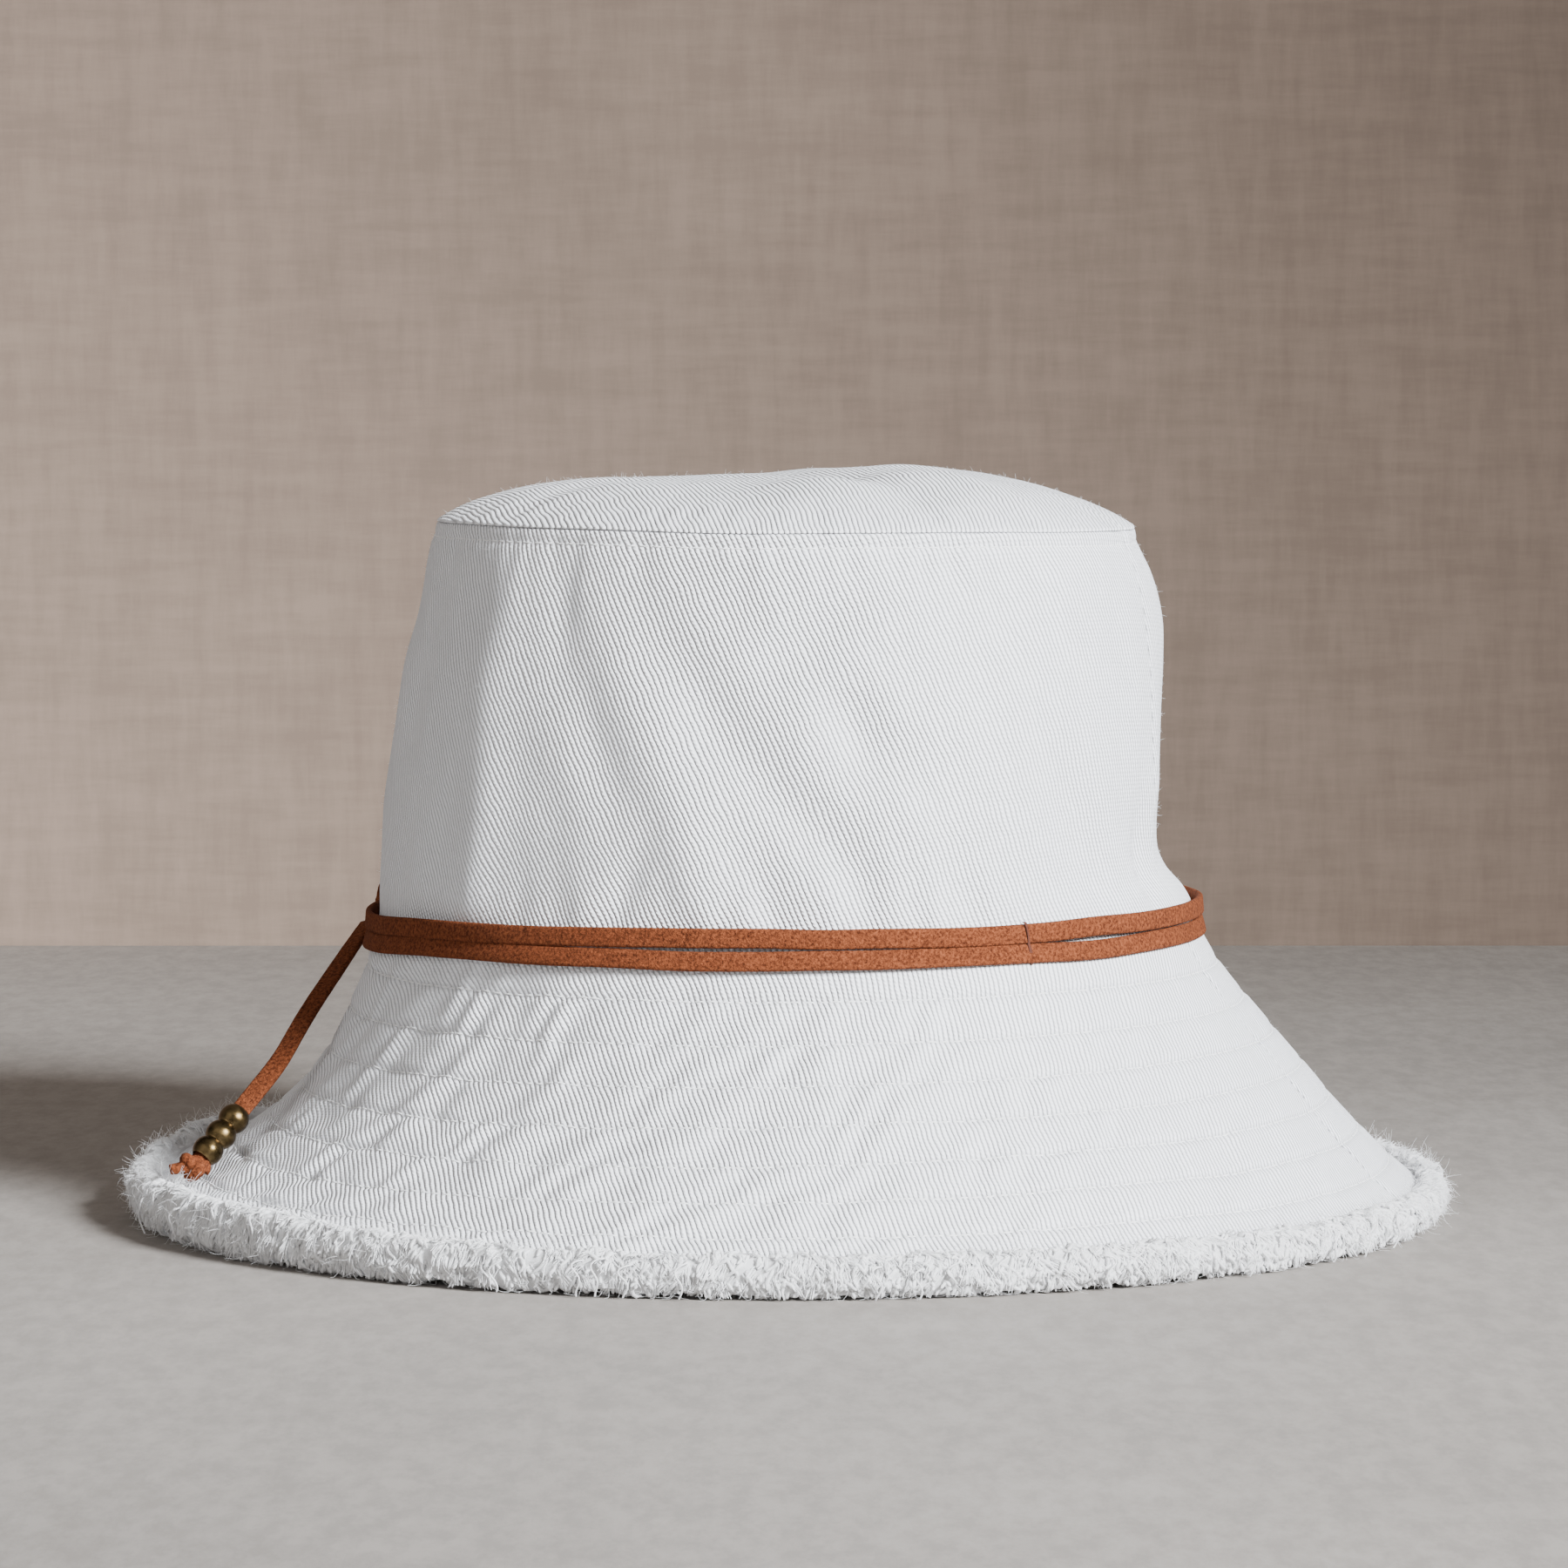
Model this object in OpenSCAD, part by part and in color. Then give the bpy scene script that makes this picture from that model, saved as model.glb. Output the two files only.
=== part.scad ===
// Bucket hat: twill crown, stitched flared brim with a frayed edge, and a suede cord
// with brass beads wound twice round the foot of the crown.
// The hat stands on its brim: +Z up, the origin on the floor on the crown's axis, -Y the near side.

/* [Head] */
// Head circumference that the sweatband fits
head_girth = 580; // [560:5:600]
// Height of the sweatband
sweatband_h = 30; // [20:1:34]
// Thickness of the sweatband tape
sweatband_t = 0.7; // [0.4:0.1:0.8]

/* [Crown] */
// Height of the side panels, from the brim seam to the tip seam
crown_h = 93.5; // [85:0.5:105]
// Radius of the tip panel at its seam
tip_r = 81; // [78:0.5:84]
// Rise of the tip panel above its seam
tip_rise = 11; // [6:0.5:14]
// Thickness of the twill
cloth_t = 1; // [0.7:0.1:1.1]
// Where the right-hand side seam is, counted from the near side towards +X
seam_angle = 72; // [60:1:90]

/* [Brim] */
// Length of the brim down its slope, without the frayed edge
brim_len = 80; // [70:1:90]
// Slope of the brim below the horizontal at the crown
brim_top_slope = 69; // [64:1:72]
// Slope of the brim below the horizontal at its edge
brim_edge_slope = 29; // [25:1:33]
// Number of rows of stitching
stitch_rows = 7; // [5:1:7]
// Distance between rows of stitching
stitch_pitch = 10.3; // [8:0.1:10.5]
// Reach of the frayed edge past the cut edge
fray_len = 8.6; // [7:0.1:10]

/* [Cord and beads] */
// Width of the flat suede cord
cord_w = 4.7; // [4:0.1:4.8]
// Thickness of the flat suede cord
cord_t = 1.5; // [1:0.1:1.6]
// Diameter of a bead
bead_d = 7; // [6.8:0.1:7.4]
// Diameter of the hole through a bead
bead_hole_d = 5; // [4.9:0.1:5.1]

/* [Hidden] */
$fn = 128;

ply_gap = 0.1;                  // free space between two layers that lie on each other
interfacing_t = 0.4;
tape_t = 0.6;
thread_r = 0.22;
tip_allowance = 8;              // depth of the tip panel's turned-down edge
seam_gap_angle = 0.1;           // free angle where two half panels meet
tape_angle = 7;                 // width of a side seam tape, as an angle
label_angle = 12;
label_h = 20;

head_r = head_girth / (2 * PI);
foot_r = head_r + sweatband_t + cloth_t + 1.6;

// The brim's section is an arc whose centre lies outside and above it.
cut_edge_z = 6.6;
brim_arc_r = brim_len / ((brim_top_slope - brim_edge_slope) * PI / 180);
seam_z = cut_edge_z + brim_arc_r * (cos(brim_edge_slope) - cos(brim_top_slope));
arc_centre = [foot_r + brim_arc_r * sin(brim_top_slope), seam_z + brim_arc_r * cos(brim_top_slope)];
cut_edge_r = brim_at(brim_edge_slope, 0)[0];
fray_r = cut_edge_r + fray_len;
under_depth = 2 * cloth_t + interfacing_t + 2 * ply_gap;

tip_z = seam_z + crown_h;
sweatband_z = seam_z + 0.6;
sweatband_top = sweatband_z + sweatband_h;

// The two turns of the cord lie on the brim seam, one above the other.
turn_r = foot_r + 0.9;
turn_z = seam_z - 1.9;
turn_gap = 0.6;
knot_angle = -104;              // where the cord is tied, counted as seam_angle is
knot_r = 2;
tack_angle = 33.2;

// Route of the hanging tail, from beside the knot to the middle of its stopper knot. The stretch
// after the eleventh point is straight, and the beads slide on it.
TAIL = [
    [-99, 20.8, 64.6], [-100.1, 17.5, 63.1], [-101.6, 12.8, 61], [-103.2, 7.7, 58.6],
    [-105, 2.3, 55.9], [-107, -3.3, 52.9], [-109, -8.7, 49.9], [-111, -13.7, 46.7],
    [-113, -18.3, 43.3], [-114.8, -22.4, 39.9], [-116.6, -26, 36.6], [-120, -29.3, 32.5],
    [-123.6, -32.7, 28.1], [-127.2, -36.1, 23.7], [-130.9, -39.6, 19.3], [-134.5, -43, 14.8]
];
tail_end = TAIL[len(TAIL) - 1];
slide_up = unit(TAIL[10] - tail_end);
end_knot_r = 3.5;
bead_half = sqrt(pow(bead_d / 2, 2) - pow(bead_hole_d / 2, 2));
bead_clear = 0.1;
first_bead = sqrt(pow(end_knot_r, 2) - pow(bead_hole_d / 2, 2)) + bead_half + bead_clear;
bead_pitch = 2 * bead_half + bead_clear;

function unit(v) = v / norm(v);

// Radius of the crown's outer face at a share t of its height
function crown_r(t) = foot_r - (foot_r - tip_r) * t * t;

// Share of the crown's height at height z
function share(z) = (z - seam_z) / crown_h;

// Point on the brim where its slope is s, depth mm under the outer face
function brim_at(s, depth) = [
    arc_centre[0] - (brim_arc_r + depth) * sin(s),
    arc_centre[1] - (brim_arc_r + depth) * cos(s)
];

// Slope of the brim at a distance down it from the seam
function slope_at(distance) = brim_top_slope - distance / brim_arc_r * 180 / PI;

// Turns a shape drawn on the +X axis to an angle counted from the near side towards +X
module at_angle(angle) { rotate([0, 0, angle - 90]) children(); }

// Band of the crown between two heights, from depth_in to depth_out under its outer face
module crown_section(z_low, z_high, depth_in, depth_out) {
    steps = 16;
    t = [for (i = [0 : steps]) share(z_low + (z_high - z_low) * i / steps)];
    outer = [for (i = [0 : steps]) [crown_r(t[i]) - depth_in, seam_z + t[i] * crown_h]];
    inner = [for (i = [steps : -1 : 0]) [crown_r(t[i]) - depth_out, seam_z + t[i] * crown_h]];
    polygon(concat(outer, inner));
}

// Layer of the brim from depth_in to depth_out under its outer face
module brim_section(slope_top, slope_end, depth_in, depth_out) {
    steps = 16;
    slopes = [for (i = [0 : steps]) slope_top + (slope_end - slope_top) * i / steps];
    outer = [for (i = [0 : steps]) brim_at(slopes[i], depth_in)];
    inner = [for (i = [steps : -1 : 0]) brim_at(slopes[i], depth_out)];
    polygon(concat(outer, inner));
}

// Half turn of a section, on the near side (turned 0) or the far side (turned 180) of the side seams
module half_turn(turned) {
    at_angle(seam_angle - 180 + seam_gap_angle / 2 + turned)
        rotate_extrude(angle = 180 - seam_gap_angle) children();
}

// Panels of the crown
module crown_tip() {
    steps = 20;
    dome_r = (tip_r * tip_r + tip_rise * tip_rise) / (2 * tip_rise);
    radii = [for (i = [0 : steps]) tip_r * i / steps];
    rise = [for (r = radii) sqrt(dome_r * dome_r - r * r) - dome_r + tip_rise];
    flange_r = tip_r - cloth_t - ply_gap;
    flange_low = tip_z - tip_allowance;
    under = [for (i = [0 : steps - 1]) [radii[i], tip_z + rise[i]]];
    upper = [for (i = [steps : -1 : 0]) [radii[i], tip_z + cloth_t + rise[i]]];
    color("white") {
        rotate_extrude() polygon(concat(under, [[tip_r, tip_z]], upper));
        rotate_extrude()
            translate([flange_r - cloth_t, flange_low]) square([cloth_t, tip_allowance + cloth_t / 2]);
    }
}

module crown_panel(turned) {
    color("whitesmoke") half_turn(turned)
        crown_section(seam_z + ply_gap, tip_z - ply_gap, 0, cloth_t);
}

// Tapes inside the crown
module tip_seam_tape() {
    outer_r = tip_r - 2 * cloth_t - 2 * ply_gap;
    color("gainsboro") rotate_extrude()
        translate([outer_r - tape_t, tip_z - tip_allowance - 1])
            square([tape_t, tip_allowance + 0.5]);
}

module side_seam_tape(angle) {
    color("gainsboro") at_angle(angle - tape_angle / 2) rotate_extrude(angle = tape_angle)
        crown_section(sweatband_top + 0.5, tip_z - tip_allowance - 2,
                      cloth_t + ply_gap, cloth_t + ply_gap + tape_t);
}

module care_label() {
    color("ghostwhite") at_angle(seam_angle + 90 - label_angle / 2) rotate_extrude(angle = label_angle)
        crown_section(sweatband_top + 1, sweatband_top + 1 + label_h,
                      cloth_t + ply_gap, cloth_t + ply_gap + tape_t);
}

module sweatband() {
    color("linen") translate([0, 0, sweatband_z]) difference() {
        cylinder(r = head_r + sweatband_t, h = sweatband_h);
        translate([0, 0, -1]) cylinder(r = head_r, h = sweatband_h + 2);
    }
}

// Plies of the brim
module brim_upper(turned) {
    color("white") half_turn(turned) brim_section(brim_top_slope, brim_edge_slope, 0, cloth_t);
}

module brim_interfacing() {
    depth = cloth_t + ply_gap;
    color("beige") rotate_extrude()
        brim_section(brim_top_slope - 1, brim_edge_slope + 2, depth, depth + interfacing_t);
}

module brim_under(turned) {
    color("white") half_turn(turned)
        brim_section(brim_top_slope, brim_edge_slope, under_depth - cloth_t, under_depth);
}

// Frayed edge: loose yarns above and below the cut edge, as two soft rings
module frayed_edge_upper() {
    on_brim = brim_at(brim_edge_slope + 2.2, -ply_gap);
    at_edge = brim_at(brim_edge_slope, -ply_gap);
    color("snow") rotate_extrude() polygon([
        on_brim, at_edge, [cut_edge_r + 0.6, 3.9], [fray_r, 2.8], [fray_r, 6.2],
        [cut_edge_r + 4.5, 9.8], [cut_edge_r - 1, 11.4], [on_brim[0], on_brim[1] + 1.6]
    ]);
}

module frayed_edge_under() {
    inner_r = cut_edge_r - 4.4;
    color("snow") rotate_extrude() polygon([
        [inner_r, 0], [fray_r, 0], [fray_r, 2.6], [cut_edge_r + 0.6, 3.7], [inner_r, 3.7]
    ]);
}

// Rows of thread
module thread_ring(centre) { rotate_extrude() translate(centre) circle(r = thread_r, $fn = 24); }

module crown_topstitch() {
    z = tip_z - 2.4;
    color("ivory") thread_ring([crown_r(share(z)) + thread_r + ply_gap, z]);
}

module brim_stitch_rows() {
    first_row = 8.5;
    color("ivory") for (i = [0 : stitch_rows - 1])
        thread_ring(brim_at(slope_at(first_row + i * stitch_pitch), -thread_r - ply_gap));
}

// The two turns of the cord, and what ties and tacks them
module cord_turn(z) {
    color("sienna") translate([0, 0, z]) difference() {
        cylinder(r = turn_r + cord_t, h = cord_w);
        translate([0, 0, -1]) cylinder(r = turn_r, h = cord_w + 2);
    }
}

module cord_knot() {
    low = turn_z + knot_r + 0.5;
    high = turn_z + 2 * cord_w + turn_gap - knot_r - 0.5;
    color("sienna") at_angle(knot_angle) translate([turn_r + cord_t + knot_r + ply_gap, 0, low]) {
        cylinder(r = knot_r, h = high - low);
        sphere(r = knot_r);
        translate([0, 0, high - low]) sphere(r = knot_r);
    }
}

module cord_cut_end() {
    start = 1.5;
    swing = 7;
    color("sienna") at_angle(knot_angle - start - swing) rotate_extrude(angle = swing)
        translate([turn_r + cord_t + ply_gap, turn_z + 2.6]) square([cord_t, cord_w]);
}

module thread_tack(angle) {
    low = turn_z - 0.4;
    high = turn_z + 2 * cord_w + turn_gap + 0.4;
    out = turn_r + cord_t + thread_r + ply_gap;
    color("peru") at_angle(angle) {
        translate([out, 0, low]) cylinder(r = thread_r, h = high - low, $fn = 24);
        tack_end(out, low, 0.9);
        tack_end(out, high, 0.9 + cord_t);
    }
}

module tack_end(out, z, reach) {
    translate([out - reach, 0, z]) rotate([0, 90, 0]) cylinder(r = thread_r, h = reach, $fn = 24);
}

// Hanging tail, swept along its route with its flat side facing -Y
module cord_tail() {
    last = len(TAIL) - 1;
    path = [for (i = [0 : last]) i < last ? TAIL[i] : tail_end + slide_up * (end_knot_r + bead_clear)];
    half_w = cord_w / 2 - 0.15;
    half_t = cord_t / 2 - 0.05;
    corner = 0.35;
    outline = [
        [half_w, half_t - corner], [half_w - corner, half_t], [corner - half_w, half_t],
        [-half_w, half_t - corner], [-half_w, corner - half_t], [corner - half_w, -half_t],
        [half_w - corner, -half_t], [half_w, corner - half_t]
    ];
    sides = len(outline);
    along = [for (i = [0 : last]) unit(path[min(i + 1, last)] - path[max(i - 1, 0)])];
    across = [for (d = along) unit(cross(d, [0, 1, 0]))];
    rings = [for (i = [0 : last]) for (p = outline)
        path[i] + across[i] * p[0] + cross(along[i], across[i]) * p[1]];
    walls = [for (i = [0 : last - 1]) for (k = [0 : sides - 1]) for (half = [0, 1])
        let (a = i * sides + k, b = i * sides + (k + 1) % sides)
        half == 0 ? [a, b, b + sides] : [a, b + sides, a + sides]];
    ends = [
        [for (k = [sides - 1 : -1 : 0]) k],
        [for (k = [0 : sides - 1]) last * sides + k]
    ];
    color("sienna") polyhedron(points = rings, faces = concat(walls, ends));
}

// Puts a shape drawn along +Z on the tail's straight stretch, at a distance above its end
module on_tail(distance) {
    tilt = acos(slide_up[2]);
    turn = atan2(slide_up[1], slide_up[0]);
    translate(tail_end + slide_up * distance) rotate([0, tilt, turn]) children();
}

module tail_end_knot() {
    stub_r = 1.4;
    stub_len = 5.2;
    color("sienna") translate(tail_end) {
        sphere(r = end_knot_r);
        rotate([0, -70, 0]) cylinder(r = stub_r, h = stub_len);
    }
}

module bead(place) {
    color("darkgoldenrod") on_tail(first_bead + place * bead_pitch) difference() {
        sphere(r = bead_d / 2);
        cylinder(r = bead_hole_d / 2, h = bead_d + 2, center = true);
    }
}

crown_tip();
crown_panel(0);  // crown_panel_front
crown_panel(180);  // crown_panel_back
tip_seam_tape();
side_seam_tape(seam_angle);  // side_seam_tape_right
side_seam_tape(seam_angle - 180);  // side_seam_tape_left
care_label();
sweatband();
brim_upper(0);  // brim_upper_front
brim_upper(180);  // brim_upper_back
brim_interfacing();
brim_under(0);  // brim_under_front
brim_under(180);  // brim_under_back
frayed_edge_upper();
frayed_edge_under();
crown_topstitch();
brim_stitch_rows();
cord_turn(turn_z + cord_w + turn_gap);  // cord_upper_turn
cord_turn(turn_z);  // cord_lower_turn
cord_knot();
cord_cut_end();
thread_tack(tack_angle);  // thread_tack_front
thread_tack(tack_angle - 180);  // thread_tack_back
cord_tail();
tail_end_knot();
bead(0);  // bead_lower
bead(1);  // bead_middle
bead(2);  // bead_upper
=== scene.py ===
"""Bucket hat of heavy white twill with a stitched, frayed brim and a beaded suede cord.

Lengths are in metres. An angle round the hat counts from the near side (-Y) towards +X.
"""
import contextlib
import math
import random

import bmesh
import bpy
from mathutils import Matrix, Vector, noise


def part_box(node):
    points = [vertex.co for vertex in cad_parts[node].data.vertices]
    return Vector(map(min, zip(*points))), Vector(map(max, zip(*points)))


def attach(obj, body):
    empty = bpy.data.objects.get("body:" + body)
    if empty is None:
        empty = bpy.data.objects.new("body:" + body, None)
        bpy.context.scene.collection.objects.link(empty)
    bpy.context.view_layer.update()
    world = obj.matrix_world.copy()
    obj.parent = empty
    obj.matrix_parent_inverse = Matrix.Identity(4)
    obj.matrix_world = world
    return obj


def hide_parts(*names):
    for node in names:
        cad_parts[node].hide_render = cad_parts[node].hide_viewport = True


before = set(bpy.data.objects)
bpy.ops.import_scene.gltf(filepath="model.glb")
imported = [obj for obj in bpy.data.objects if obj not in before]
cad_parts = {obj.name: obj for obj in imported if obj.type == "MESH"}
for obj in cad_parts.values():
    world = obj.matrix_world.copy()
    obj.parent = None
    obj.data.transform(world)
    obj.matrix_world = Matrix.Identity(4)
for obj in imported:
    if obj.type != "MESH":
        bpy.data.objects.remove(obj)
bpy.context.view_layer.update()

bl_info = {
    "name": "Bucket hat",
    "version": (1, 0, 0),
    "blender": (4, 5, 0),
    "location": "3D View > Sidebar > Hat",
    "description": "Builds a twill bucket hat with a frayed brim and a beaded suede cord",
    "category": "Add Mesh",
}

MM = 0.001
TURN = 2 * math.pi

# Thicknesses of the cloth, and places round the hat
CLOTH = 1.0 * MM
PLY_GAP = 0.1 * MM
BRIM_DEPTH = 2.6 * MM
SEAM_ANGLE = math.radians(72)
KNOT_ANGLE = math.radians(-104)

# Sizes that the frame gives
PANEL_LOW, PANEL_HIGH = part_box("crown_panel_front")
TIP_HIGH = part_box("crown_tip")[1]
FOOT_R = -PANEL_LOW.x
SEAM_Z = PANEL_LOW.z - PLY_GAP
TIP_R = TIP_HIGH.x
TIP_Z = PANEL_HIGH.z + PLY_GAP
CROWN_H = TIP_Z - SEAM_Z
CUT_R = -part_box("brim_upper_front")[0].x
FRAY_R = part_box("frayed_edge_under")[1].x
BAND_TOP_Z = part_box("sweatband")[1].z
TACK_LOW, TACK_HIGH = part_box("thread_tack_front")
TACK_ANGLE = math.atan2(TACK_LOW.x + TACK_HIGH.x, -(TACK_LOW.y + TACK_HIGH.y))

# The brim's section is an arc whose centre lies outside and above it
TOP_SLOPE = math.radians(69)
EDGE_SLOPE = math.radians(29)
BRIM_ARC_R = (CUT_R - FOOT_R) / (math.sin(TOP_SLOPE) - math.sin(EDGE_SLOPE))
BRIM_LEN = BRIM_ARC_R * (TOP_SLOPE - EDGE_SLOPE)
BRIM_CENTRE_R = FOOT_R + BRIM_ARC_R * math.sin(TOP_SLOPE)
BRIM_CENTRE_Z = SEAM_Z + BRIM_ARC_R * math.cos(TOP_SLOPE)
BRIM_RADIUS_GAIN = 0.64  # growth of the brim's radius for each metre down its slope

# The brim's and the tip's pattern pieces are cut at a small angle to the crown's
BRIM_GRAIN = math.radians(8)
TIP_GRAIN = math.radians(13)

# Where the rows of stitching lie, down the brim's slope
STITCH_ROWS = [8.5 * MM + row * 10.3 * MM for row in range(7)]
STITCH_LENGTH = 3.1 * MM
STITCH_THICKNESS = 0.36 * MM

# The hanging tail's route, the same as in the CAD, from beside the knot into its stopper knot
TAIL_ROUTE = [
    (-0.0990, 0.0208, 0.0646), (-0.1001, 0.0175, 0.0631), (-0.1016, 0.0128, 0.0610),
    (-0.1032, 0.0077, 0.0586), (-0.1050, 0.0023, 0.0559), (-0.1070, -0.0033, 0.0529),
    (-0.1090, -0.0087, 0.0499), (-0.1110, -0.0137, 0.0467), (-0.1130, -0.0183, 0.0433),
    (-0.1148, -0.0224, 0.0399), (-0.1166, -0.0260, 0.0366), (-0.1200, -0.0293, 0.0325),
    (-0.1236, -0.0327, 0.0281), (-0.1272, -0.0361, 0.0237), (-0.1309, -0.0396, 0.0193),
    (-0.1345, -0.0430, 0.0148),
]


# Sizes and colours a user would change

def colour_setting(name, description, default):
    return bpy.props.FloatVectorProperty(
        name=name, description=description, subtype="COLOR", size=3, min=0, max=1, default=default)


def length_setting(name, description, default, low, high):
    """Setting in millimetres of default, low and high, which is kept in metres."""
    return bpy.props.FloatProperty(
        name=name, description=description, unit="LENGTH",
        default=default * MM, min=low * MM, max=high * MM)


def count_setting(name, description, default, low, high):
    return bpy.props.IntProperty(
        name=name, description=description, default=default, min=low, max=high)


class HatClothSettings(bpy.types.PropertyGroup):
    """Twill of the crown and brim."""
    colour: colour_setting("Cloth colour", "Colour of the white twill", (0.86, 0.868, 0.9))
    wale: length_setting("Wale spacing", "Distance between two ribs of the twill", 1.18, 0.5, 3)
    relief: length_setting("Wale relief", "Height of the ribs", 0.5, 0, 1)
    lean: bpy.props.FloatProperty(
        name="Wale lean", description="Lean of the ribs from the vertical at the front",
        subtype="ANGLE", default=math.radians(25))
    slack: bpy.props.FloatProperty(
        name="Slack", description="How much the cloth is out of its even shape",
        default=1, min=0, max=2)


class HatFraySettings(bpy.types.PropertyGroup):
    """Loose yarns of the brim's raw edge."""
    tufts: count_setting("Tufts", "Number of tufts round the brim", 1300, 300, 3000)
    curls: count_setting("Curls", "Number of plump curled yarns round the brim", 2400, 300, 6000)
    length: length_setting("Tuft length", "Length of a tuft before it curls", 5.2, 2, 20)
    thickness: length_setting("Yarn thickness", "Diameter of a loose yarn", 0.36, 0.1, 1.5)


class HatCordSettings(bpy.types.PropertyGroup):
    """Flat suede cord."""
    colour: colour_setting("Suede colour", "Colour of the suede's nap", (0.160, 0.0385, 0.0130))
    width: length_setting("Cord width", "Width of the flat cord", 4.7, 3, 6)
    thickness: length_setting("Cord thickness", "Thickness of the flat cord", 1.5, 1, 2)


class HatBeadSettings(bpy.types.PropertyGroup):
    """Antiqued brass beads."""
    colour: colour_setting("Brass colour", "Colour of the rubbed brass", (0.17, 0.113, 0.050))
    patina: colour_setting(
        "Patina colour", "Colour of the dark antique finish", (0.045, 0.031, 0.013))


class HatStageSettings(bpy.types.PropertyGroup):
    """Floor, backdrop and light."""
    floor_colour: colour_setting("Floor colour", "Colour of the floor", (0.322, 0.295, 0.27))
    wall_colour: colour_setting("Backdrop colour", "Colour of the backdrop", (0.318, 0.241, 0.193))
    key_power: bpy.props.FloatProperty(
        name="Key light", description="Power of the key light in watts", default=24, min=0)
    fill_power: bpy.props.FloatProperty(
        name="Fill light", description="Power of the fill light in watts", default=18, min=0)


SETTINGS = {
    "hat_cloth": HatClothSettings,
    "hat_fray": HatFraySettings,
    "hat_cord": HatCordSettings,
    "hat_beads": HatBeadSettings,
    "hat_stage": HatStageSettings,
}


# Shape of the hat

def around(angle, radius, height):
    """Point at an angle round the hat."""
    return Vector((radius * math.sin(angle), -radius * math.cos(angle), height))


def bump(distance, width):
    """Smooth bump of height 1, which is 0.37 at the given width from its middle."""
    return math.exp(-(distance / width) ** 2)


def angle_between(angle, other):
    """Difference of two angles, from minus half a turn to half a turn."""
    return (angle - other + math.pi) % TURN - math.pi


class Fold:
    """A soft fold: a long low mound, or a valley where its rise is negative."""

    def __init__(self, degrees, height, lean, length, width, rise):
        self.angle = math.radians(degrees)
        self.height = height * MM
        self.lean = math.radians(lean)
        self.length = length * MM
        self.width = width * MM
        self.rise = rise * MM

    def at(self, angle, height, radius):
        """Rise of the cloth at a place on the hat."""
        right = angle_between(angle, self.angle) * radius
        up = height - self.height
        along = up * math.cos(self.lean) + right * math.sin(self.lean)
        across = right * math.cos(self.lean) - up * math.sin(self.lean)
        return self.rise * bump(along, self.length) * bump(across, self.width)


def table_value(table, place):
    """Smooth value between the rows (place, value) of a table."""
    last = len(table) - 1
    index = max(1, min(last, sum(1 for row in table if row[0] <= place)))
    before, after = table[index - 1], table[index]
    span = after[0] - before[0]
    share = max(0.0, min(1.0, (place - before[0]) / span))
    first, final = table[max(0, index - 2)], table[min(last, index + 1)]
    start = (after[1] - first[1]) / (after[0] - first[0]) * span
    end = (final[1] - before[1]) / (final[0] - before[0]) * span
    value = (2 * share ** 3 - 3 * share ** 2 + 1) * before[1]
    value += (share ** 3 - 2 * share ** 2 + share) * start
    return value + (3 * share ** 2 - 2 * share ** 3) * after[1] + (share ** 3 - share ** 2) * end


# The crown's right side leans in above the brim and bulges near the top, and its left side stands
# out a little: height above the brim seam and rise over the even shape
RIGHT_SIDE = [(height * MM, rise * MM) for height, rise in (
    (0, 0.0), (5, -0.8), (10, -2.8), (15, -6.6), (20, -8.2), (27, -7.8), (35, -6.2), (44, -4.7),
    (54, -2.8), (63, -1.0), (73, 0.6), (84, 0.5), (93.5, -2.4))]
LEFT_SIDE = [(height * MM, rise * MM) for height, rise in (
    (0, 1.0), (10, 1.4), (25, 1.6), (35, 1.0), (50, 0.4), (62, 0.2), (73, -0.4), (84, 0.2),
    (93.5, 0.7))]

# Folds of the crown: degrees round, height above the brim seam, lean, length, width, rise
CROWN_FOLDS = [Fold(*row) for row in (
    (64, 17, 7, 22, 4, -1.1),
    (71, 26, 10, 22, 5, 0.9),
    (10, 50, -30, 13, 7, -2.3),
    (3, 70, 60, 16, 6, -1.5),
    (-10, 52, -34, 26, 7, -1.4),
    (-17, 38, -26, 24, 7, 1.4),
    (6, 26, -42, 24, 6, -1.5),
    (16, 34, -40, 22, 7, 1.1),
    (-27, 42, -24, 12, 5, -0.5),
    (-48, 22, 6, 30, 8, 1.8),
    (-49, 66, 4, 28, 8, 1.3),
    (-31, 58, -10, 24, 6, -0.5),
    (-36, 76, -6, 14, 4, -0.9),
    (-72, 36, 6, 44, 12, -1.2),
    (-24, 11, 24, 15, 4, -1.3),
    (-12, 9, -16, 13, 4, 1.0),
    (-2, 11, -22, 14, 5, -1.0),
    (14, 12, -10, 13, 4, 0.8),
    (24, 17, -24, 20, 6, -1.0),
    (36, 60, 34, 26, 10, 0.9),
    (44, 30, -20, 26, 9, -0.9),
    (-100, 45, 0, 40, 14, 0.6),
    (132, 44, 24, 30, 12, -1.8),
    (158, 30, -24, 30, 9, 1.3),
    (176, 58, -20, 34, 12, 1.4),
    (-168, 22, 16, 22, 7, -1.3),
    (-146, 32, 14, 32, 11, -1.6),
)]

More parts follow.
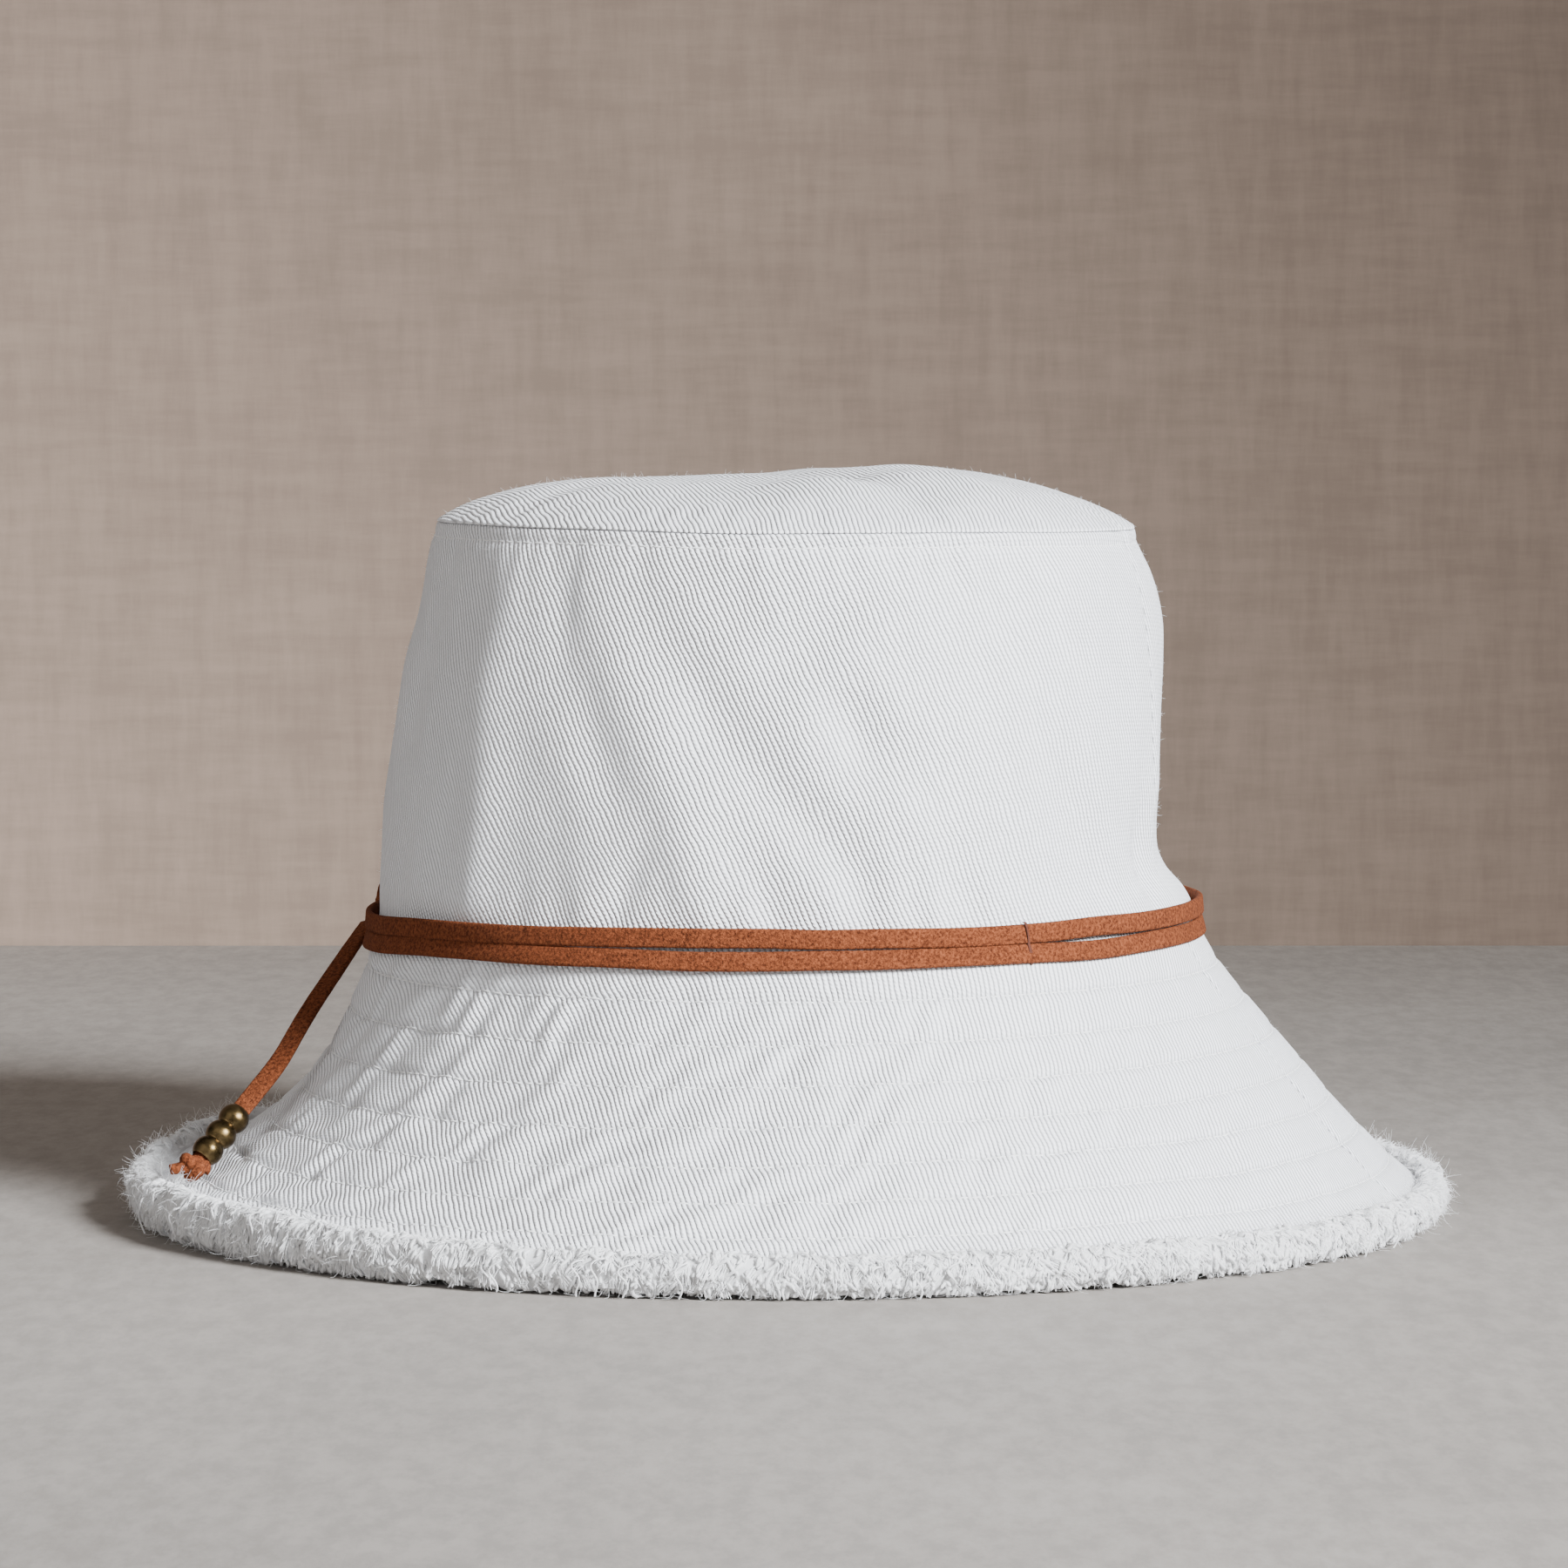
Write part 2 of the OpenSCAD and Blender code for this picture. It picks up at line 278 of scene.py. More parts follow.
# Folds of the brim: degrees round, height down the slope as a negative, lean, length, width, rise
BRIM_FOLDS = [Fold(*row) for row in (
    (-66, -32, 10, 22, 6, 0.9),
    (-55, -24, 14, 18, 5, -0.8),
    (-46, -38, 16, 22, 4, 0.8),
    (-38, -22, 12, 16, 4, -0.9),
    (-30, -40, 14, 20, 4, 0.7),
    (-22, -30, 12, 18, 4, -0.8),
    (-14, -52, 10, 22, 5, 0.7),
    (-4, -40, 6, 22, 5, -0.8),
    (4, -24, 0, 14, 4, 0.6),
    (11, -50, 4, 22, 5, 0.6),
    (20, -34, -6, 22, 5, -0.6),
    (33, -56, -10, 24, 6, 0.6),
    (48, -46, -8, 28, 7, -0.7),
    (60, -60, -8, 26, 8, 0.6),
    (104, -44, 0, 40, 11, -0.9),
    (139, -50, 10, 40, 10, 1.0),
    (170, -40, -12, 40, 10, -1.0),
    (-152, -52, 8, 40, 9, 1.0),
    (-124, -44, -8, 40, 9, -0.9),
    (-92, -38, 4, 40, 9, -0.6),
)]


def undulation(angle, height, size, seed):
    """Even random swell of the cloth, between about -1 and 1."""
    around_hat = Vector((math.sin(angle), math.cos(angle), 0)) * 0.09
    place = (around_hat + Vector((0, 0, height))) / size
    return noise.noise(place + Vector((seed * 7.3, 0, seed * 3.1)))


def side_seam_dip(angle, radius):
    """How far a side seam pulls the cloth in, from 0 to 1."""
    nearest = min(abs(angle_between(angle, seam)) for seam in (SEAM_ANGLE, SEAM_ANGLE - math.pi))
    return bump(nearest * radius, 1.1 * MM)


def tip_seam_height(angle):
    """Height of the tip seam, which stands a little higher at the left."""
    return TIP_Z - 0.7 * MM * math.sin(angle) + 0.5 * MM * undulation(angle, 0, 45 * MM, 4)


def crown_radius(angle, share):
    """Radius of the crown's outer face at a share of its height, 0 at the brim and 1 at the tip."""
    slack = bpy.context.scene.hat_cloth.slack
    height = share * CROWN_H
    flare = 2 * MM
    radius = FOOT_R - flare * (1 - math.exp(-share / 0.06))
    radius -= (FOOT_R - flare - TIP_R) * share ** 1.9
    soft = 1.1 * sum(fold.at(angle, height, radius) for fold in CROWN_FOLDS)
    for side, middle in ((RIGHT_SIDE, math.radians(90)), (LEFT_SIDE, math.radians(-90))):
        soft += table_value(side, height) * bump(angle_between(angle, middle), math.radians(34))
    soft += 1.0 * MM * undulation(angle, height, 38 * MM, 1)
    soft += 0.55 * MM * undulation(angle + height, height * 0.7, 13 * MM, 2)
    free = 1 - bump(height, 6 * MM) - 0.7 * bump(CROWN_H - height, 5 * MM)
    pucker = undulation(angle, height * 0.15, 5 * MM, 3)
    near_tip = bump(CROWN_H - height, 11 * MM)
    near_cord = bump(height - 8 * MM, 9 * MM)
    soft += (0.75 * near_tip + 0.45 * near_cord) * MM * pucker
    shape = radius + soft * free * slack - 0.5 * MM * side_seam_dip(angle, radius)
    channel = 0.35 * MM * bump(CROWN_H - height - 3.3 * MM, 0.8 * MM)
    return shape - channel


# The edges of the crown and of its tip roll into the seam between them
ROLL_R = 0.55 * MM
SEAM_ROLL = ROLL_R * math.radians(75)


def crown_place(angle, share, depth=0.0):
    """Point of the crown, depth metres under its outer face."""
    top = tip_seam_height(angle)
    wall = 1 - SEAM_ROLL / CROWN_H
    if share <= wall:
        height = SEAM_Z + share / wall * (top - ROLL_R - SEAM_Z)
        return around(angle, crown_radius(angle, share) - depth, height)
    turn = (share - wall) * CROWN_H / ROLL_R
    reach = crown_radius(angle, wall) - ROLL_R + (ROLL_R - depth) * math.cos(turn)
    return around(angle, reach, top - ROLL_R + (ROLL_R - depth) * math.sin(turn))


def rim_rise(angle):
    """How far the rim is lifted off the floor: it curls up at the left and the back."""
    left = 5.0 * MM * bump(angle_between(angle, math.radians(-120)), math.radians(26))
    back = 1.2 * MM * bump(angle_between(angle, math.radians(170)), math.radians(20))
    return left + back


def brim_swell(angle, distance):
    """Rise of the brim's outer face over its even arc, at a distance down its slope."""
    slack = bpy.context.scene.hat_cloth.slack
    share = distance / BRIM_LEN
    radius = FOOT_R + distance * BRIM_RADIUS_GAIN
    bow = (0.6 + 3.9 * math.sin(angle)) * MM * math.sin(math.pi * min(share, 1)) ** 1.2
    soft = 0.55 * sum(fold.at(angle, -distance, radius) for fold in BRIM_FOLDS)
    soft += 0.8 * MM * undulation(angle, distance, 34 * MM, 5)
    restless = 0.5 + 0.9 * bump(angle_between(angle, math.radians(-42)), math.radians(42))
    soft += 0.5 * MM * restless * undulation(angle + distance * 0.8, distance * 0.55, 9 * MM, 6)
    between = sum(0.5 + math.tanh((distance - row) / (2 * MM)) / 2 for row in STITCH_ROWS)
    patch = undulation(angle, between * 11 * MM, 14 * MM, 9)
    roping = math.sin(46 * angle + distance / (3.0 * MM) + 0.8 * between + 5 * patch)
    soft += 0.46 * MM * restless * roping * (0.7 + 0.8 * patch)
    free = 1 - bump(distance, 7 * MM) - 0.5 * bump(BRIM_LEN - distance, 8 * MM)
    nearest = min(abs(distance - row) for row in STITCH_ROWS)
    channel = bump(nearest, 1.1 * MM)
    pucker = undulation(angle, distance * 0.2, 3.2 * MM, 7)
    sewn = (0.20 * pucker - 0.42) * MM * channel
    return bow + soft * free * slack + sewn - 0.35 * MM * side_seam_dip(angle, radius)


def brim_place(angle, distance, depth=0.0):
    """Point of the brim at a distance down its slope, depth metres under its outer face."""
    slope = TOP_SLOPE - distance / BRIM_ARC_R
    reach = BRIM_ARC_R + depth - brim_swell(angle, distance)
    height = BRIM_CENTRE_Z - reach * math.cos(slope)
    height += rim_rise(angle) * (distance / BRIM_LEN) ** 2
    return around(angle, BRIM_CENTRE_R - reach * math.sin(slope), height)


def cone_pattern(angle, radius, spread, grain=0.0):
    """Place on the flat pattern of a conical panel. The pattern turns by spread times the angle."""
    reach = radius / spread
    turn = angle * spread + grain
    return Vector((reach * math.sin(turn), -reach * math.cos(turn)))


def tip_place(angle, share):
    """Point of the tip panel, from its middle at share 0 to its rolled edge at share 1."""
    slack = bpy.context.scene.hat_cloth.slack
    edge = crown_radius(angle, 1 - SEAM_ROLL / CROWN_H) - 0.15 * MM
    seam = tip_seam_height(angle)
    shoulder = 1 - SEAM_ROLL / edge
    if share > shoulder:
        turn = math.radians(60) - (share - shoulder) * edge / ROLL_R
        height = seam + (0.4 + math.sin(turn)) * ROLL_R
        return around(angle, edge - ROLL_R + ROLL_R * math.cos(turn), height)
    share /= shoulder
    reach = share * (edge - 0.5 * ROLL_R)
    x, y = reach * math.sin(angle), -reach * math.cos(angle)
    lip = 1.266 * ROLL_R  # height of the rolled edge over the seam, where the even part meets it
    foot = TIP_Z + (seam - TIP_Z) * share + lip
    rise = (TIP_HIGH.z - TIP_Z - lip) * (1 - share ** 4.2)
    free = 1 - share ** 4
    soft = 1.3 * bump(x - 26 * MM, 30 * MM)
    soft -= 1.5 * bump(x + 16 * MM, 20 * MM)
    soft -= 0.9 * bump(x + 46 * MM, 22 * MM)
    soft -= 1.8 * bump(x + 0.55 * y + 4 * MM, 8 * MM) * bump(y + 30 * MM, 34 * MM)
    soft += 1.0 * bump(x + 0.8 * y - 14 * MM, 7 * MM) * bump(y + 34 * MM, 26 * MM)
    soft -= 1.3 * bump(x - 0.7 * y + 30 * MM, 8 * MM) * bump(y + 34 * MM, 22 * MM)
    soft -= 1.7 * bump(x - 0.3 * y - 46 * MM, 12 * MM) * bump(y + 62 * MM, 15 * MM)
    near_edge = bump(math.hypot(x, y) - 83 * MM, 5 * MM)
    soft += 0.9 * near_edge * bump(angle_between(angle, math.radians(38)), 0.5)
    soft += (0.8 * noise.noise(Vector((x, y, 0.05)) / (26 * MM))
             + 0.35 * noise.noise(Vector((x, y, 0.3)) / (11 * MM)))
    pucker = 0.9 * undulation(angle, 0, 6 * MM, 8) * bump(1 - share, 0.13) * (1 - share ** 16)
    return Vector((x, y, foot + rise + (soft * free + pucker) * MM * slack))


def disc_spot(across, up):
    """Angle and share of the radius for a place on a square that is bent into a disc."""
    a, b = 2 * across - 1, 2 * up - 1
    if abs(a) > abs(b):
        reach, turn = a, math.pi / 4 * b / a
    else:
        reach, turn = b, math.pi / 2 - (math.pi / 4 * a / b if b else 0)
    x, y = reach * math.cos(turn), reach * math.sin(turn)
    share = abs(reach)
    return math.atan2(x, -y), 0.35 * share + 0.65 * (1 - (1 - share) ** 1.6)


# Making meshes

def grid_piece(name, columns, rows, place, pattern=None, weld=False, sewn=None):
    """Sheet whose corners go where place(across, up) says. Its UV map holds pattern(across, up).

    sewn(across, up) is 1 where a thread pulls the cloth in; it is kept as the sewn attribute, along
    which the twill material paints shade.
    """
    bm = bmesh.new()
    bmesh.ops.create_grid(bm, x_segments=columns, y_segments=rows, size=0.5)
    layer = bm.loops.layers.uv.new("pattern")
    painted_shade_layer = bm.verts.layers.float.new("sewn") if sewn else None
    grid = {vert: (vert.co.x + 0.5, vert.co.y + 0.5) for vert in bm.verts}
    flat = pattern or (lambda across, up: (across, up))
    flat_place = {vert: Vector(flat(*spot)[:2]) for vert, spot in grid.items()}
    for face in bm.faces:
        face.smooth = True
        for loop in face.loops:
            loop[layer].uv = flat_place[loop.vert]
    for vert, spot in grid.items():
        vert.co = place(*spot)
        if sewn:
            vert[painted_shade_layer] = sewn(*spot)
    if weld:
        bmesh.ops.remove_doubles(bm, verts=bm.verts, dist=0.001 * MM)
    return finish_mesh(name, bm)


def in_scene(name, data):
    """Object of a mesh, curve, light or camera, in the scene."""
    thing = bpy.data.objects.new(name, data)
    bpy.context.scene.collection.objects.link(thing)
    return thing


def finish_mesh(name, bm):
    """Object of a bmesh, in the scene."""
    mesh = bpy.data.meshes.new(name)
    bm.to_mesh(mesh)
    bm.free()
    return in_scene(name, mesh)


@contextlib.contextmanager
def editing(mesh):
    """The mesh as a bmesh, written back at the end."""
    bm = bmesh.new()
    bm.from_mesh(mesh)
    yield bm
    bm.to_mesh(mesh)
    bm.free()


def evaluated_mesh(thing):
    """New mesh of a curve, or of a mesh with its modifiers."""
    graph = bpy.context.evaluated_depsgraph_get()
    return bpy.data.meshes.new_from_object(thing.evaluated_get(graph))


def outward(piece, from_place=None):
    """Turns the faces of an open sheet away from the middle of the crown, or from another place."""
    mesh = piece.data
    middle = from_place or Vector((0, 0, TIP_Z * 0.4))
    score = sum((face.center - middle).dot(face.normal) * face.area for face in mesh.polygons)
    if score < 0:
        mesh.flip_normals()


def thicken(piece, thickness):
    """Gives a sheet its thickness, on the side its faces look away from."""
    solid = piece.modifiers.new("Thickness", "SOLIDIFY")
    solid.thickness = thickness
    solid.offset = -1
    solid.use_even_offset = False


def tubes_piece(name, lines, thickness, sides_step=0):
    """One mesh of many thin tubes. A line is a list of (point, share of the thickness)."""
    curve = bpy.data.curves.new(name, "CURVE")
    curve.dimensions = "3D"
    curve.bevel_depth = thickness / 2
    curve.bevel_resolution = sides_step
    curve.use_fill_caps = True
    for line in lines:
        spline = curve.splines.new("POLY")
        spline.points.add(len(line) - 1)
        spline.points.foreach_set("co", [value for point, _ in line for value in (*point, 1)])
        spline.points.foreach_set("radius", [share for _, share in line])
    holder = in_scene(name + "_lines", curve)
    mesh = evaluated_mesh(holder)
    bpy.data.objects.remove(holder)
    bpy.data.curves.remove(curve)
    mesh.name = name
    mesh.polygons.foreach_set("use_smooth", [True] * len(mesh.polygons))
    return in_scene(name, mesh)


def ribbon_section(width, thickness, corner, steps=3):
    """Outline of a flat cord: a rectangle with round corners, as (across, out) pairs."""
    outline = []
    for side_x, side_y, start in ((1, 1, 0), (-1, 1, 90), (-1, -1, 180), (1, -1, 270)):
        for step in range(steps + 1):
            turn = math.radians(start + 90 * step / steps)
            outline.append((side_x * (width / 2 - corner) + corner * math.cos(turn),
                            side_y * (thickness / 2 - corner) + corner * math.sin(turn)))
    return outline


def ribbon_piece(name, centres, across, outs, width, thickness, seed, closed=False):
    """Flat cord through centres, with its width along across and its face along outs."""
    nap = 0.07 * MM
    outline = ribbon_section(width, thickness, 0.42 * thickness)
    sides = len(outline)
    columns = len(centres) - (0 if closed else 1)
    travel = [0.0]
    for before, after in zip(centres, centres[1:]):
        travel.append(travel[-1] + (after - before).length)
    if closed:
        travel.append(travel[-1] + (centres[0] - centres[-1]).length)

    def place(along, round_it):
        column = round(along * columns)
        step = round(round_it * sides) % sides
        index = column % len(centres)
        side, out = outline[step]
        point = centres[index] + across[index] * side + outs[index] * out
        return point + outs[index] * nap * noise.noise(point / (1.3 * MM) + Vector((seed, 0, 0)))

    def pattern(along, round_it):
        return travel[round(along * columns)], (round_it - 0.5) * 2 * (width + thickness)

    piece = grid_piece(name, columns, sides, place, pattern, weld=True)
    with editing(piece.data) as bm:
        bmesh.ops.holes_fill(bm, edges=[edge for edge in bm.edges if edge.is_boundary], sides=0)
        bmesh.ops.recalc_face_normals(bm, faces=bm.faces)
    return piece


def smooth_path(points, spacing):
    """Points at even steps along a smooth curve through the given ones."""
    curve = bpy.data.curves.new("path", "CURVE")
    curve.dimensions = "3D"
    spline = curve.splines.new("BEZIER")
    spline.bezier_points.add(len(points) - 1)
    for knot, point in zip(spline.bezier_points, points):
        knot.co = point
        knot.handle_left_type = "AUTO"
        knot.handle_right_type = "AUTO"
    spline.resolution_u = 12
    holder = in_scene("path", curve)
    mesh = evaluated_mesh(holder)
    line = [vert.co.copy() for vert in mesh.vertices]
    bpy.data.objects.remove(holder)
    bpy.data.curves.remove(curve)
    bpy.data.meshes.remove(mesh)
    total = sum((after - before).length for before, after in zip(line, line[1:]))
    steps = max(2, round(total / spacing))
    even = [line[0]]
    gone = 0.0
    for before, after in zip(line, line[1:]):
        stretch = (after - before).length
        while len(even) < steps and gone + stretch >= len(even) * total / steps:
            share = (len(even) * total / steps - gone) / stretch
            even.append(before.lerp(after, share))
        gone += stretch
    even.append(line[-1])
    return even


def frames_along(path, facing):
    """Directions across and out of a flat cord at each point, its face turned towards facing."""
    across, outs = [], []
    for index, point in enumerate(path):
        forward = (path[min(index + 1, len(path) - 1)] - path[max(index - 1, 0)]).normalized()
        look = facing(index / (len(path) - 1)) if callable(facing) else Vector(facing)
        side = forward.cross(look).normalized()
        across.append(side)
        outs.append(side.cross(forward).normalized())
    return across, outs


def paint(piece, material):
    """Gives a piece its only material."""
    piece.data.materials.clear()
    piece.data.materials.append(material)


def place_piece(piece, body, material, slot, *nodes):
    """Paints a piece, rides it on its body and hides the CAD nodes it stands for. Its slot is not
    used.
    """
    paint(piece, material)
    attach(piece, body)
    if nodes:
        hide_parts(*nodes)


# Shader node groups and materials

class Nodes:
    """Short hand for adding and linking shader nodes."""

    def __init__(self, tree):
        self.tree = tree

    def add(self, kind, inputs=None, **values):
        node = self.tree.nodes.new(kind)
        for key, value in values.items():
            setattr(node, key, value)
        for key, value in (inputs or {}).items():
            self.put(value, node.inputs[key])
        return node

    def put(self, value, socket):
        if isinstance(value, bpy.types.NodeSocket):
            self.tree.links.new(value, socket)
        else:
            socket.default_value = value

    def math(self, operation, first, second=0.0, third=0.0):
        node = self.add("ShaderNodeMath", {0: first, 1: second, 2: third}, operation=operation)
        return node.outputs[0]

    def mix(self, factor, first, second):
        node = self.add("ShaderNodeMix", data_type="RGBA")
        self.put(factor, node.inputs["Factor"])
        self.put(first, node.inputs[6])
        self.put(second, node.inputs[7])
        return node.outputs[2]

    def ramp(self, value, low, high):
        node = self.add("ShaderNodeMapRange", {"Value": value, "From Min": low, "From Max": high})
        return node.outputs["Result"]

    def noise(self, vector, scale, detail=2.0, roughness=0.5):
        node = self.add("ShaderNodeTexNoise", {"Vector": vector, "Scale": scale, "Detail": detail,
                                               "Roughness": roughness})
        return node.outputs["Fac"]

    def own_place(self):
        """The piece's own coordinates."""
        return self.add("ShaderNodeTexCoord").outputs["Object"]

    def stretched(self, vector, scale):
        return self.add("ShaderNodeMapping", {"Vector": vector, "Scale": scale}).outputs[0]

    def scaled(self, vector, factor):
        node = self.add("ShaderNodeVectorMath", {0: vector, "Scale": factor}, operation="SCALE")
        return node.outputs[0]

    def fibres(self, size):
        """Outputs of the fine fibres at the piece's own coordinates."""
        return self.add("ShaderNodeGroup", {"Vector": self.own_place(), "Size": size},
                        node_tree=fibre_group()).outputs

    def blend(self, share, first, second):
        """Shows the second shader by a share, in place of the first one alone."""
        show = self.add("ShaderNodeMixShader",
                        {0: share, 1: first.outputs[0], 2: second.outputs[0]})
        self.put(show.outputs[0], self.tree.nodes["Material Output"].inputs["Surface"])

    def relief(self, height, strength, distance, under=None):
        """Normal that a height gives, over another normal where there is one."""
        node = self.add("ShaderNodeBump", {"Height": height, "Strength": strength,
                                           "Distance": distance})
        if under is not None:
            self.put(under, node.inputs["Normal"])
        return node.outputs[0]


def new_group(name, inputs, outputs):
    """Shader node group with named sockets. Returns its nodes, its inputs and its output node."""
    group = bpy.data.node_groups.new(name, "ShaderNodeTree")
    for label, kind, default in inputs:
        socket = group.interface.new_socket(label, in_out="INPUT", socket_type=kind)
        if default is not None:
            socket.default_value = default
    for label, kind in outputs:
        group.interface.new_socket(label, in_out="OUTPUT", socket_type=kind)
    nodes = Nodes(group)
    entry = nodes.add("NodeGroupInput")
    leave = nodes.add("NodeGroupOutput")
    return nodes, entry.outputs, leave


def twill_group():
    """Ribs of a twill: Height is their relief, and the groove output is 1 between two ribs, where
    the twill material paints shade.
    """
    if "Twill ribs" in bpy.data.node_groups:
        return bpy.data.node_groups["Twill ribs"]
    n, entry, leave = new_group(
        "Twill ribs",
        [("Vector", "NodeSocketVector", None), ("Spacing", "NodeSocketFloat", 1.4 * MM),
         ("Lean", "NodeSocketFloat", 0.33)],
        [("Height", "NodeSocketFloat"), ("Groove shade", "NodeSocketFloat"), ("Tone", "NodeSocketFloat")])
    split = n.add("ShaderNodeSeparateXYZ", {"Vector": entry["Vector"]})
    cosine = n.math("COSINE", entry["Lean"])
    sine = n.math("SINE", entry["Lean"])
    across = n.math("ADD", n.math("MULTIPLY", split.outputs[0], cosine),
                    n.math("MULTIPLY", split.outputs[1], sine))
    along = n.math("SUBTRACT", n.math("MULTIPLY", split.outputs[1], cosine),
                   n.math("MULTIPLY", split.outputs[0], sine))
    wander = n.math("SUBTRACT", n.noise(entry["Vector"], 110.0, 3.0), 0.5)
    wander = n.math("MULTIPLY", wander, 1.5 * MM)
    turns = n.math("DIVIDE", n.math("ADD", across, wander), entry["Spacing"])
    phase = n.math("FRACT", turns)
    rib = n.math("FLOOR", turns)
    arch = n.math("POWER", n.math("SINE", n.math("MULTIPLY", phase, math.pi)), 0.75)
    step = n.math("ADD", n.math("DIVIDE", along, 1.0 * MM), n.math("MULTIPLY", phase, 0.9))
    step = n.math("ADD", step, n.math("MULTIPLY", rib, 0.37))
    strand = n.math("MULTIPLY_ADD", n.math("SINE", n.math("MULTIPLY", step, TURN)), 0.5, 0.5)
    uneven = n.noise(entry["Vector"], 900.0, 2.0)
    height = n.math("MULTIPLY", arch, n.math("MULTIPLY_ADD", strand, 0.26, 0.74))
    height = n.math("ADD", height, n.math("MULTIPLY", n.math("SUBTRACT", uneven, 0.5), 0.34))
    n.put(height, leave.inputs["Height"])
    n.put(n.math("SUBTRACT", 1.0, n.ramp(arch, 0.25, 0.85)), leave.inputs["Groove shade"])
    n.put(n.noise(entry["Vector"], 45.0, 3.0), leave.inputs["Tone"])
    return n.tree


def fibre_group():
    """Fine fibres of yarn, thread and nap: Height and Fleck, from the piece's own coordinates."""
    if "Fine fibres" in bpy.data.node_groups:
        return bpy.data.node_groups["Fine fibres"]
    n, entry, leave = new_group(
        "Fine fibres",
        [("Vector", "NodeSocketVector", None), ("Size", "NodeSocketFloat", 0.3 * MM)],
        [("Height", "NodeSocketFloat"), ("Fleck", "NodeSocketFloat")])
    scaled = n.scaled(entry["Vector"], n.math("DIVIDE", 1.0, entry["Size"]))
    fine = n.noise(scaled, 1.0, 4.0, 0.7)
    pores = n.add("ShaderNodeTexVoronoi", {"Vector": scaled, "Scale": 0.8}).outputs["Distance"]
    n.put(n.math("ADD", fine, n.math("MULTIPLY", pores, 0.35)), leave.inputs["Height"])
    n.put(n.ramp(n.noise(scaled, 0.55, 3.0, 0.75), 0.36, 0.66), leave.inputs["Fleck"])
    return n.tree


def new_material(name, roughness, sheen=0.0, metallic=0.0):
    """Material with a Principled shader. Returns it, its nodes and its shader."""
    material = bpy.data.materials.new(name)
    material.use_nodes = True
    material.node_tree.nodes.clear()
    n = Nodes(material.node_tree)
    shader = n.add("ShaderNodeBsdfPrincipled", {"Roughness": roughness, "Metallic": metallic})
    shader.inputs["Sheen Weight"].default_value = sheen
    shader.inputs["Sheen Roughness"].default_value = 0.6
    shader.inputs["Specular IOR Level"].default_value = 0.5 if metallic else 0.12
    out = n.add("ShaderNodeOutputMaterial")
    n.put(shader.outputs[0], out.inputs["Surface"])
    return material, n, shader


def scaled_colour(colour, factor):
    """A colour made darker or lighter, as a node's colour value."""
    return (*(min(1.0, part * factor) for part in colour), 1.0)


def twill_material():
    """White bull-denim twill, whose ribs follow the panels' flat pattern."""
    cloth = bpy.context.scene.hat_cloth
    material, n, shader = new_material("White twill", 0.92, sheen=0.08)
    pattern = n.add("ShaderNodeUVMap", uv_map="pattern").outputs[0]
    ribs = n.add("ShaderNodeGroup", {"Vector": pattern, "Spacing": cloth.wale, "Lean": cloth.lean},
                 node_tree=twill_group()).outputs
    tone = n.mix(n.ramp(ribs["Tone"], 0.3, 0.7), scaled_colour(cloth.colour, 0.965),
                 scaled_colour(cloth.colour, 1.0))
    # Painted shade: the grooves between the ribs are darkened as if in shadow.
    colour = n.mix(n.math("MULTIPLY", ribs["Groove shade"], 0.8), tone, scaled_colour(cloth.colour, 0.56))
    # Painted shade along the rows of stitching, where the thread pulls the cloth in.
    sewn = n.add("ShaderNodeAttribute", attribute_name="sewn").outputs["Fac"]
    colour = n.mix(n.math("MULTIPLY", sewn, 0.45), colour, scaled_colour(cloth.colour, 0.5))
    n.put(colour, shader.inputs["Base Color"])
    fuzz = n.relief(n.fibres(0.22 * MM)["Height"], 0.35, 0.05 * MM)
    n.put(n.relief(ribs["Height"], 1.0, cloth.relief, fuzz), shader.inputs["Normal"])
    return material


# Cottons: colour, share of it in the dark flecks, size of the fibres, strength of their relief and
# share of light let through
COTTONS = {
    "Cotton tape": ((0.80, 0.79, 0.76), 0.88, 0.5 * MM, 0.5, 0.0),
    "White thread": ((0.84, 0.84, 0.84), 0.9, 0.18 * MM, 0.5, 0.0),
    "Tan thread": ((0.10, 0.026, 0.012), 0.6, 0.2 * MM, 0.5, 0.0),
    "Loose yarn": ((0.93, 0.93, 0.935), 0.96, 0.25 * MM, 0.4, 0.42),
}


def cotton_material(name):
    """Yarn, thread or tape with fine fibres."""
    colour, dark, size, strength, through = COTTONS[name]
    material, n, shader = new_material(name, 0.95, sheen=0.15)
    fibres = n.fibres(size)
    n.put(n.mix(fibres["Fleck"], scaled_colour(colour, dark), scaled_colour(colour, 1.0)),
          shader.inputs["Base Color"])
    n.put(n.relief(fibres["Height"], strength, size * 0.4), shader.inputs["Normal"])
    if through:
        glow = n.add("ShaderNodeBsdfTranslucent", {"Color": scaled_colour(colour, 1.0)})
        n.blend(through, shader, glow)
    return material


def suede_material():
    """Tan suede: a short nap with darker pores and paler fibre ends."""
    cord = bpy.context.scene.hat_cord
    material, n, shader = new_material("Tan suede", 0.95)
    nap = n.fibres(0.38 * MM)
    patches = n.ramp(n.noise(n.own_place(), 160.0, 3.0), 0.35, 0.65)
    base = n.mix(patches, scaled_colour(cord.colour, 0.86), scaled_colour(cord.colour, 1.08))
    pale = (*(min(1, part * factor) for part, factor in zip(cord.colour, (1.45, 1.75, 2.0))), 1)
    pores = n.mix(nap["Fleck"], scaled_colour(cord.colour, 0.22), pale)
    n.put(n.mix(0.85, base, pores), shader.inputs["Base Color"])
    n.put(n.relief(nap["Height"], 1.0, 0.30 * MM), shader.inputs["Normal"])
    return material


